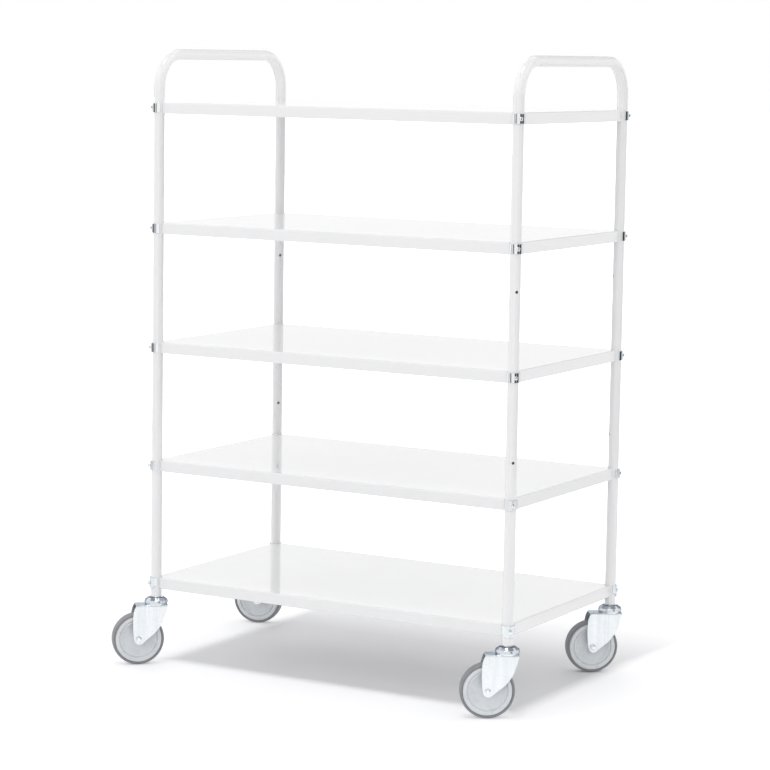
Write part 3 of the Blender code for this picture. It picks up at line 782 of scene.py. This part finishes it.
def strap_lines(thickness, nose_rise):
    """Outer and inner line of a strap. X points out along the diagonal, and the post is at the origin."""
    inner = TUBE_RADIUS + STRAP_GAP
    outer = inner + thickness
    nose = outer + nose_rise
    touch = math.atan2(NOSE_HALF, nose) + math.acos(outer / math.hypot(nose, NOSE_HALF))
    lines = []
    for radius in (outer, inner):
        front = radius + nose_rise
        corner = (front, (radius - front * math.cos(touch)) / math.sin(touch))
        on_post = arc((0, 0), radius, math.degrees(touch), STRAP_REACH, STRAP_STEPS)
        bends = [0, NOSE_BEND + radius - inner] + [0] * len(on_post)
        half = rounded([(front, 0), corner, *on_post], bends, 6, closed=False)
        lines.append([(x, -y) for x, y in reversed(half[1:])] + half)
    return lines


def strap_mesh(name, thickness, nose_rise, height, cut_away=0.0, foot=0.0):
    """A strap of that height. Its lower edge rises by cut_away from the foot to both ends."""
    outer, inner = strap_lines(thickness, nose_rise)
    widest = max(y for _, y in outer)
    rings = []
    for out, into in zip(outer, inner):
        low = -height / 2 + cut_away * max(0.0, (abs(out[1]) - foot) / (widest - foot))
        rings.append([(*out, low), (*out, height / 2), (*into, height / 2), (*into, low)])
    return work(join(name, [stack(rings)]), break_edges(STRAP_EDGE, 3))


strap = strap_mesh("strap", STRAP_SHEET, NOSE_RISE, STRAP_HEIGHT)
bracket = strap_mesh("bracket", BRACKET_SHEET, 0.0, BRACKET_HEIGHT, cut_away=9 * MM, foot=8.5 * MM)
print("strap", len(strap.polygons), "faces, bracket", len(bracket.polygons), "faces")

# %% [markdown]
# ## Screws and nuts
# A screw head is a hexagon whose corners are turned off by a cone, so its top is round. The height of
# that chamfer follows from how far each point of the hexagon lies outside the circle. Under the head
# is a flange, and past the nut the thread shows: a zigzag profile on the lathe reads as one at
# this size, and costs far less than a true helix.

# %% Turn a hexagon, a thread, a screw and a nut
CHAMFER_SLOPE = 0.6
CHAMFER_CIRCLE = 0.97
SHARP_BAND = 0.05 * MM
HEX_POINTS = 72


def hexagon(across, low, high, both_ends=False):
    """A hexagonal block about Z with its corners turned off at the top, or at both ends."""
    flat = across / 2
    circle = flat * CHAMFER_CIRCLE
    columns = []
    for i in range(HEX_POINTS):
        angle = math.tau * i / HEX_POINTS
        from_flat = (angle + math.pi / 6) % (math.pi / 3) - math.pi / 6
        corner = flat / math.cos(from_flat)
        drop = (corner - circle) * CHAMFER_SLOPE
        below = [(circle, low), (corner, low + drop)]
        if not both_ends:
            below = [(corner, low), (corner, low + SHARP_BAND)]
        column = [*below, (corner, high - drop), (circle, high)]
        columns.append([(radius * math.cos(angle), radius * math.sin(angle), z) for radius, z in column])
    return stack([list(ring) for ring in zip(*columns)])


def threaded_rod(radius, low, high, pitch=0.8 * MM, depth=0.35 * MM):
    """A rod with thread grooves along its whole length and a pointed end at the low side."""
    profile = [(0, low), (radius - depth, low)]
    height = low + pitch / 2
    while height < high - pitch:
        profile += [(radius, height), (radius - depth, height + pitch / 2)]
        height += pitch
    return lathe(profile + [(radius, high), (0, high)], 32)


def collar(inner, outer, base, straight, bend, way):
    """The collar of a locking nut, with a rounded edge. It stands up from the base, or down if way is -1."""
    start = base + way * straight
    edge = arc((outer - bend, start), bend, 0, way * 90, 6)
    return lathe([(inner, base), (outer, base), *edge, (inner, start + way * bend)], 48, loop=True)


NUT_FACE = CORNER_HOLLOW + SHEET + STRAP_GAP
FLANGE = ((0, 0), (4.7, 0), (4.7, 0.5), (4.1, 1.1), (0, 1.1))
SCREW_ACROSS, NUT_ACROSS, NUT_HEIGHT = 8.0 * MM, 9.8 * MM, 3.6 * MM
THREAD_SHOWS = 6.4 * MM
OUTWARDS = Matrix.Rotation(math.pi / 2, 4, "Y")


def screw_mesh(name, seat):
    """The screw of a clamp, its head outside the strap, on a seat at that distance from the post's axis."""
    flange = lathe(from_mm(FLANGE, up=seat), 48)
    head = hexagon(SCREW_ACROSS, seat + 0.9 * MM, seat + 4.4 * MM)
    shank = rod(SCREW_RADIUS, -NUT_FACE, seat, 32)
    tail = threaded_rod(SCREW_RADIUS, -NUT_FACE - THREAD_SHOWS, -NUT_FACE)
    return join(name, [flange, head, shank, tail], OUTWARDS)


def nut_mesh(name):
    """A locking nut inside the tray's corner, with its rounded collar. X points out."""
    block = hexagon(NUT_ACROSS, -NUT_FACE - NUT_HEIGHT, -NUT_FACE, both_ends=True)
    ring = collar(2.9 * MM, 4.3 * MM, -NUT_FACE - 3.5 * MM, 0.5 * MM, 0.9 * MM, -1)
    return join(name, [block, ring], OUTWARDS)


strap_screw = screw_mesh("strap_screw", TUBE_RADIUS + STRAP_GAP + STRAP_SHEET + NOSE_RISE)
bracket_screw = screw_mesh("bracket_screw", TUBE_RADIUS + STRAP_GAP + BRACKET_SHEET)
inside_nut = nut_mesh("inside_nut")
for corner, post in posts.items():
    outward = Matrix.Rotation(math.atan2(math.copysign(1, post.y), math.copysign(1, post.x)), 4, "Z")
    for number, height in enumerate(screw_heights, 1):
        place = Matrix.Translation(post + Vector((0, 0, height))) @ outward
        label = f"{number}_{corner}"
        if number < len(screw_heights):
            show(f"strap_{label}", strap, clamp_zinc, "clamp_zinc", "cart", place, f"clamp_{label}")
            show(f"screw_{label}", strap_screw, clamp_zinc, "clamp_zinc", "cart", place)
        else:
            show(f"plate_{label}", bracket, caster_zinc, "clamp_zinc", "cart", place, f"bracket_{label}")
            show(f"screw_{label}", bracket_screw, clamp_zinc, "clamp_zinc", "cart", place)
        show(f"nut_{label}", inside_nut, clamp_zinc, "clamp_zinc", "cart", place)
print("clamps and brackets:", len(CORNERS) * len(screw_heights))

# %% [markdown]
# ## Stem and swivel head
# The stem stands in the open end of the post, and its lower end is riveted over under the fork, where
# it is the pin that the fork turns on. Over the fork sits the upper half of the ball race, a domed
# cup with a ridge round its top and a side that widens a little downwards. The lower half is pressed
# into the fork's crown, and shows as a narrow bright bowl below a dark gap. All of them are turned,
# so the lathe makes each from half a section.

# %% Turn the stem, the cup and the lower race
PLAY = 0.3 * MM
RACE_RISE, RACE_DEPTH = 3 * MM, 3.5 * MM
RACE_BORE = 12 * MM
CROWN_TOP = CUP_BOTTOM - PLAY - RACE_RISE
PIN_RADIUS = 6 * MM
CUP_RADIUS = 28 * MM
CUP_EDGE = ((0, 1.5), (-0.7, 0), (-2.0, 0.2), (-3, 2))
STEM_RADIUS = 11.2 * MM
RIVET_HEAD = ((9, 0), (8.6, -3), (5, -5.6), (0, -6.5))


def stem_mesh():
    seat = CUP_TOP + PLAY
    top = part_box("caster_stem_front_left")[1].z
    rivet = CROWN_TOP - RACE_DEPTH - PLAY
    profile = [(0, top), (STEM_RADIUS, top), (STEM_RADIUS, seat), (PIN_RADIUS, seat), (PIN_RADIUS, rivet)]
    profile += from_mm(RIVET_HEAD, up=rivet)
    return join("stem", [lathe(rounded(profile, 1.2 * MM, 4, closed=False), 64)])


def cup_mesh():
    bore = PIN_RADIUS + PLAY
    ridge = arc((18.6 * MM, CUP_TOP - 2.0 * MM), 2.0 * MM, 150, 40, 8)
    shoulder = arc((24.4 * MM, CUP_TOP - 6.9 * MM), 2.4 * MM, 70, 13, 8)
    profile = [(bore, CUP_TOP - 2.2 * MM), (15.6 * MM, CUP_TOP - 2.2 * MM), *ridge, *shoulder]
    profile += from_mm(CUP_EDGE, CUP_RADIUS, CUP_BOTTOM)
    return join("cup", [lathe([*profile, (bore, CUP_BOTTOM + 2 * MM)], 96, loop=True)])


def race_mesh():
    low, high = CROWN_TOP - RACE_DEPTH, CROWN_TOP + RACE_RISE
    bowl = arc((20.5 * MM, high - 0.6 * MM), 5.9 * MM, -62, 0, 8)
    rim = from_mm(((26.4, -0.3), (26, 0), (24.5, 0), (23, -1.5)), up=high)
    return join("race", [lathe([(RACE_BORE, low), *bowl, *rim, (RACE_BORE, high - 1.5 * MM)], 96, loop=True)])


stem, cup, race = stem_mesh(), cup_mesh(), race_mesh()
print("cup from", round(CUP_BOTTOM, 4), "to", round(CUP_TOP, 4), "crown at", round(CROWN_TOP, 4))

# %% [markdown]
# ## Fork
# The fork is one bent sheet: a crown under the race and two legs that step in towards the wheel. Its
# plan, with the step, is drawn once outside and once a sheet's thickness inside. Both are
# raised into blocks with a rounded upper edge, the inner block is cut from the outer one, and what
# lies within the side view of the legs is kept. A small bevel then breaks the cut edges.

# %% Draw the fork's plan and side view
FORK_SHEET = 2.5 * MM
FORK_HALF_FRONT = 20 * MM
FORK_HALF_BACK = 23.75 * MM
STEP_FRONT, STEP_BACK = 25.5 * MM, 9 * MM
STEP_STEPS = 12
CROWN_BEND = 4.6 * MM
BEND_RINGS = 7
FORK_EDGE = 0.35 * MM
FORK_FRONT, FORK_BACK, FORK_BLOCK_FOOT = 70 * MM, -40 * MM, 40 * MM
LEG_POINTS = (
    (49.2, 83.5), (54.0, 74.0), (57.2, 62.0), (58.3, 46.0), (58.0, 26.0), (56.4, 8.0), (54.2, -4.2),
    (49.9, -10.4), (43.2, -12.8), (36.2, -10.9), (28.5, -4.6), (16.5, 5.6), (4.2, 17.1), (-6.0, 29.6),
    (-13.6, 42.7), (-18.5, 57.6), (-22.3, 70.6), (-25.3, 83.5),
)
CURVE_STEPS = 6


def smooth_line(points):
    """A curve through the points, with extra ones between them."""
    line = []
    count = len(points)
    for i in range(count - 1):
        a, b, c, d = (Vector(points[max(0, min(count - 1, i + k))]) for k in (-1, 0, 1, 2))
        bow, twist = 2 * a - 5 * b + 4 * c - d, 3 * b - a - 3 * c + d
        for step in range(CURVE_STEPS):
            t = step / CURVE_STEPS
            line.append(tuple((2 * b + (c - a) * t + bow * t * t + twist * t * t * t) / 2))
    return line + [tuple(points[-1])]


def fork_plan(inset):
    """Half widths of the fork along X, stepping out smoothly from the wheel to the race."""
    upper = [(FORK_FRONT + inset, FORK_HALF_FRONT - inset)]
    for i in range(STEP_STEPS + 1):
        share = i / STEP_STEPS
        ease = share * share * (3 - 2 * share)
        x = STEP_FRONT + (STEP_BACK - STEP_FRONT) * share
        upper.append((x, FORK_HALF_FRONT + (FORK_HALF_BACK - FORK_HALF_FRONT) * ease - inset))
    upper.append((FORK_BACK - inset, FORK_HALF_BACK - inset))
    return upper + [(x, -y) for x, y in reversed(upper)]


def fork_block(name, inset):
    """The plan raised to a block, its long upper edges rounded where the sheet bends."""
    low, high = FORK_BLOCK_FOOT - inset, CROWN_TOP - inset
    bend = CROWN_BEND - inset
    rings = [[(x, y, low) for x, y in fork_plan(inset)]]
    for step in range(BEND_RINGS + 1):
        angle = math.pi / 2 * step / BEND_RINGS
        run, drop = bend * (1 - math.cos(angle)), bend * (1 - math.sin(angle))
        rings.append([(x, y - math.copysign(run, y), high - drop) for x, y in fork_plan(inset)])
    return join(name, [stack(rings)])


def fork_mesh():
    leg = from_mm(smooth_line(LEG_POINTS), up=AXLE_HEIGHT)
    leg[0] = (leg[0][0], CROWN_TOP + MM)
    leg[-1] = (leg[-1][0], CROWN_TOP + MM)
    wide = FORK_HALF_BACK + 5 * MM
    side = join("leg_side_view", [stack([[(x, y, z) for x, z in leg] for y in (-wide, wide)])])
    bent = work(fork_block("fork", 0.0), cut(fork_block("fork_inside", FORK_SHEET)), keep_inside(side))
    bent.set_sharp_from_angle(angle=SHARP_EDGE)
    return work(bent, break_edges(FORK_EDGE), FLAT_STAYS_FLAT)


fork = fork_mesh()
print("fork:", len(fork.polygons), "faces")

# %% [markdown]
# ## Axle, wheel and tyre
# The axle is a bolt with a locking nut on the outer side. The wheel is one grey moulding: a hub, a
# dished disc and a rim with a groove inside its edge, which in the picture is a pale ring. The tyre
# has a low crown and soft shoulders, and a fine line round its middle where the mould halves met.
# All four are turned about Z and then laid along the axle.

# %% Turn the bolt and its nut
LAY_ALONG_AXLE = Matrix.Rotation(-math.pi / 2, 4, "X")
AXLE_RADIUS, AXLE_ACROSS = 4 * MM, 13 * MM
AXLE_SHOWS, AXLE_NUT_HEIGHT = 7.7 * MM, 4.6 * MM
FORK_FACE = FORK_HALF_FRONT + PLAY


def axle_bolt_mesh():
    flip = Matrix.Rotation(math.pi, 4, "X")
    points, faces = hexagon(AXLE_ACROSS, 0, 5 * MM)
    head = ([tuple(flip @ Vector(point) - Vector((0, 0, FORK_FACE))) for point in points], faces)
    shank = rod(AXLE_RADIUS, -FORK_FACE - MM, FORK_FACE, 48)
    points, faces = threaded_rod(AXLE_RADIUS, -FORK_FACE - AXLE_SHOWS, -FORK_FACE + MM, 1.25 * MM, 0.5 * MM)
    tail = ([tuple(flip @ Vector(point)) for point in points], faces)
    return join("axle_bolt", [head, shank, tail], LAY_ALONG_AXLE)


def axle_nut_mesh():
    block = hexagon(AXLE_ACROSS, FORK_FACE, FORK_FACE + AXLE_NUT_HEIGHT, both_ends=True)
    ring = collar(4.2 * MM, 5.7 * MM, FORK_FACE + 4.4 * MM, 0.9 * MM, 1.1 * MM, 1)
    return join("axle_nut", [block, ring], LAY_ALONG_AXLE)


axle_bolt, axle_nut = axle_bolt_mesh(), axle_nut_mesh()
print("axle bolt", len(axle_bolt.polygons), "faces, nut", len(axle_nut.polygons), "faces")

# %% Turn the wheel and the tyre
RIM_RADIUS = 56 * MM
WHEEL_RADIUS = AXLE_HEIGHT
TREAD_FROM = 61.5 * MM
WHEEL_SIDES = 128


def mirrored(half):
    """A closed section from its half on the outer side of the wheel."""
    return half + [(radius, -height) for radius, height in reversed(half)]


def wheel_mesh():
    face = [
        (6.7, 16.5), (10.6, 16.5), (11.4, 15.7), (12.0, 9.6), (13.4, 7.6), (20, 6.6), (30, 7.4), (36.5, 9.4),
        (40.6, 11.8), (42.6, 12.6), (43.6, 12.2), (44.6, 10.8), (45.4, 10.8), (46.0, 12.2), (46.8, 13.9),
        (48.2, 14.5), (54.6, 14.5), (55.6, 14.0), (56.0, 13.0),
    ]
    section = rounded(from_mm(face), 0.8 * MM, 2, closed=False)
    return join("wheel", [lathe(mirrored(section), WHEEL_SIDES, loop=True)], LAY_ALONG_AXLE)


def tyre_mesh():
    seat = RIM_RADIUS + PLAY
    side = from_mm(((0, 13.4), (0.5, 15.4)), across=seat)
    side += arc((57.4 * MM, 11.3 * MM), 4.5 * MM, 82, 14, 9)
    side += [*from_mm(((62.2, 8), (62.4, 4), (62.42, 0.35))), (WHEEL_RADIUS, 0.12 * MM)]
    mesh = join("tyre_skin", [lathe(mirrored(side), WHEEL_SIDES, loop=True)], LAY_ALONG_AXLE)
    tread = mesh.attributes.new(TREAD, "FLOAT", "POINT")
    for vertex, mark in zip(mesh.vertices, tread.data):
        mark.value = math.hypot(vertex.co.x, vertex.co.z) > TREAD_FROM
    return mesh


wheel, tyre = wheel_mesh(), tyre_mesh()
for corner in CORNERS:
    swivel, spin = caster_places[corner], wheel_places[corner]
    fork_body, wheel_body = f"fork_{corner}", f"wheel_{corner}"
    show(f"stem_{corner}", stem, caster_zinc, "caster_zinc", "cart", swivel, f"caster_stem_{corner}")
    show(f"cup_{corner}", cup, race_zinc, "caster_zinc", "cart", swivel, f"caster_cup_{corner}")
    show(f"race_{corner}", race, race_zinc, "caster_zinc", fork_body, swivel)
    show(f"bent_fork_{corner}", fork, caster_zinc, "caster_zinc", fork_body, swivel, f"caster_fork_{corner}")
    show(f"bolt_{corner}", axle_bolt, clamp_zinc, "caster_zinc", fork_body, spin, f"axle_bolt_{corner}")
    show(f"lock_nut_{corner}", axle_nut, clamp_zinc, "caster_zinc", fork_body, spin, f"axle_nut_{corner}")
    show(f"wheel_{corner}", wheel, wheel_plastic, "wheel_plastic", wheel_body, spin, f"wheel_centre_{corner}")
    show(f"rubber_{corner}", tyre, tyre_rubber, "tyre", wheel_body, spin, f"tyre_{corner}")
    sleeve_finishes = frame["nodes"][f"axle_sleeve_{corner}"].data.materials
    sleeve_finishes.clear()
    sleeve_finishes.append(caster_zinc)
print("casters dressed:", len(CORNERS))

# %% [markdown]
# ## Floor
# The cart stands on a studio floor that fades to pure white, with only its soft shadow left. A very
# bright lamp would burn the paint out too, so the white comes from the floor's own colour: where the
# camera or a mirror-like surface looks at it, some white is added to what the lamps give. Under the
# trays almost none is added, so a painted shadow in their shape, soft at the ends and front and long
# towards the back, deepens the real one. Mirrors lose that white a few steps away, and further out
# they look past the floor at the studio. The real shadow stays, the light that the floor throws back
# on the cart stays plain, and from below it is clear.

# %% Lay the floor
FLOOR_HALF = 60.0
# Under the trays the floor gets almost no added white: a painted shadow over the real one.
GLOW_IN_PAINTED_SHADOW, GLOW_NEAR, GLOW_FAR = 0.02, 0.3, 0.9
FAR_FADE, MIRROR_FADE = (0.9, 3.5), (1.0, 1.8)
PAPER_RADIUS = 3.7
PAPER_TONES = (0.79, 0.79, 0.805, 1), (0.81, 0.81, 0.82, 1)
PAINTED_SHADOW_ENDS, PAINTED_SHADOW_FRONT, PAINTED_SHADOW_BACK = (-0.025, 0.025), (-0.07, -0.025), (0.03, 0.53)

floor_mesh = bpy.data.meshes.new("studio_floor")
corners = [(x * FLOOR_HALF, y * FLOOR_HALF, 0) for x, y in ((-1, -1), (1, -1), (1, 1), (-1, 1))]
floor_mesh.from_pydata(corners, [], [(0, 1, 2, 3)])
floor = new_object("studio_floor", floor_mesh)

floor_finish, tree, shader = new_finish("studio_floor")
here = here_on(tree)
drift = patches(tree, here, 2.0, 4.0)
rays = add(tree, "ShaderNodeLightPath").outputs
watched = calculate(tree, "MAXIMUM", rays["Is Camera Ray"], rays["Is Transmission Ray"])
# The added white fades to almost none under the trays, softly at their ends and front and over a long way
# towards the back: a painted shadow in their shape.
across, along = add(tree, "ShaderNodeSeparateXYZ", {0: here}).outputs[:2]
past_painted_shadow_ends = spread(tree, calculate(tree, "ABSOLUTE", across), *(POST_X + beyond for beyond in PAINTED_SHADOW_ENDS))
past_painted_shadow_front = spread(tree, along, *(-POST_Y - beyond for beyond in PAINTED_SHADOW_FRONT))
past_painted_shadow_back = spread(tree, along, *(POST_Y + beyond for beyond in PAINTED_SHADOW_BACK))
outside_painted_shadow = calculate(tree, "MAXIMUM", calculate(tree, "MAXIMUM", past_painted_shadow_ends, past_painted_shadow_front), past_painted_shadow_back)
glow_with_painted_shadow = spread(tree, outside_painted_shadow, 0.0, 1.0, GLOW_IN_PAINTED_SHADOW, GLOW_NEAR)
radius = add(tree, "ShaderNodeVectorMath", {0: here}, operation="LENGTH").outputs["Value"]
in_mirrors = product(tree, rays["Is Glossy Ray"], spread(tree, radius, *MIRROR_FADE, 1.0, 0.0))
glow_with_painted_shadow = product(tree, calculate(tree, "MAXIMUM", watched, in_mirrors), glow_with_painted_shadow)
far_glow = product(tree, watched, spread(tree, radius, *FAR_FADE, 0.0, GLOW_FAR))
past_paper = product(tree, rays["Is Glossy Ray"], calculate(tree, "GREATER_THAN", radius, PAPER_RADIUS))
from_below = product(tree, watched, add(tree, "ShaderNodeNewGeometry").outputs["Backfacing"])
fill(tree, shader, {
    "Base Color": blend_colours(tree, drift, *PAPER_TONES),
    "Roughness": 0.6,
    "Specular IOR Level": 0.2,
    "Emission Color": (1, 1, 1, 1),
    "Emission Strength": calculate(tree, "ADD", glow_with_painted_shadow, far_glow),
    "Alpha": rest(tree, calculate(tree, "MAXIMUM", past_paper, from_below)),
})
floor_mesh.materials.append(floor_finish)
print("floor", 2 * FLOOR_HALF, "m square")

# %% [markdown]
# ## Light
# The picture is high-key: soft light from all round, a little stronger from the rear left, and one
# large overhead light whose shadow lies almost straight below the trays. The world gives the light
# from all round. Metal needs something dark to reflect or it looks like paper, so glossy rays see a
# white studio with dark gaps between its screens. A gap runs between two directions, in degrees from
# the X axis, and between two heights, from -1 below to 1 above, and keeps a share of the light. The
# first darkens the cups of the casters, those below the horizon draw bands on the clamps, and the last
# two calm the handles and the top tray. The camera sees plain white.

# %% Paint the studio round the cart
world = bpy.data.worlds.new("studio")
bpy.context.scene.world = world
world.use_nodes = True
tree = world.node_tree
HORIZON_LIGHT, SCREEN_LIGHT, ZENITH_LIGHT = 0.76, 1.31, 0.53
SCREEN_FROM, SCREEN_TO = (0.1, 0.3), (0.7, 0.85)
BACK_DIRECTION, BACK_LIGHT = (-0.866, 0.5, 0.0), 0.16
BELOW = -2.0
GAPS = (
    (-34, -12, 0.04, 0.6, 0.45), (-40, -20, BELOW, 0.0, 0.06), (-5, 50, BELOW, 0.0, 0.06),
    (-142, -133, BELOW, 0.0, 0.1), (-115.5, -104, BELOW, 0.0, 0.02), (142, 165, BELOW, 0.0, 0.15),
    (45, 128, 0.31, 0.66, 0.45), (131, 467, 0.09, 0.32, 0.84),
)
GAP_EDGE, GAP_FADE = 1.5, 0.03
HORIZON_SHINE, HORIZON_FADE = 0.96, (0.0, 0.2)
DARK_OVERHEAD, OVERHEAD_FADE = 0.7, (0.75, 0.85)

towards = add(tree, "ShaderNodeTexCoord").outputs["Generated"]
east, north, up = add(tree, "ShaderNodeSeparateXYZ", {0: towards}).outputs
azimuth = product(tree, calculate(tree, "ARCTAN2", north, east), 180 / math.pi)
shares = [
    spread(tree, up, *HORIZON_FADE, HORIZON_SHINE, 1.0),
    spread(tree, up, *OVERHEAD_FADE, 1.0, 1 - DARK_OVERHEAD),
]
for start, end, low, high, shade in GAPS:
    middle, half = (start + end) / 2, (end - start) / 2
    turned = calculate(tree, "WRAP", calculate(tree, "SUBTRACT", azimuth, middle), 180.0, -180.0)
    between = spread(tree, calculate(tree, "ABSOLUTE", turned), half + GAP_EDGE, half - GAP_EDGE)
    under, over = spread(tree, up, high + GAP_FADE, high), spread(tree, up, low - GAP_FADE, low)
    shares.append(rest(tree, product(tree, between, under, over, 1 - shade)))
mirrored_studio = product(tree, *shares)

given = {0: towards, 1: BACK_DIRECTION}
backward = add(tree, "ShaderNodeVectorMath", given, operation="DOT_PRODUCT").outputs["Value"]
plain_studio = product(
    tree,
    spread(tree, up, *SCREEN_FROM, HORIZON_LIGHT, SCREEN_LIGHT),
    spread(tree, up, *SCREEN_TO, 1.0, ZENITH_LIGHT / SCREEN_LIGHT),
    spread(tree, backward, -1.0, 1.0, 1 - BACK_LIGHT, 1 + BACK_LIGHT),
)
rays = add(tree, "ShaderNodeLightPath").outputs
given = {0: rays["Is Glossy Ray"], 2: plain_studio, 3: mirrored_studio}
on_the_cart = add(tree, "ShaderNodeMix", given).outputs[0]
watched = calculate(tree, "MAXIMUM", rays["Is Camera Ray"], rays["Is Transmission Ray"])
strength = add(tree, "ShaderNodeMix", {0: watched, 2: on_the_cart, 3: 1.0}).outputs[0]
fill(tree, tree.nodes["Background"], {"Color": (1, 1, 1, 1), "Strength": strength})
print("studio gaps:", len(GAPS), "light at the horizon", HORIZON_LIGHT)

# %% Hang the overhead light
LAMP_SPOT, LAMP_AIM = Vector((0, -1.5, 7.1)), Vector((0, 0, 0.3))
LAMP_SIDE = 2.2
LAMP_WATTS = 60

lamp = bpy.data.lights.new("overhead", "AREA")
lamp.size = LAMP_SIDE
lamp.energy = LAMP_WATTS
softbox = new_object("overhead", lamp)
softbox.location = LAMP_SPOT
softbox.rotation_euler = (LAMP_AIM - LAMP_SPOT).to_track_quat("-Z", "Y").to_euler()
bpy.context.scene.view_settings.view_transform = "Standard"
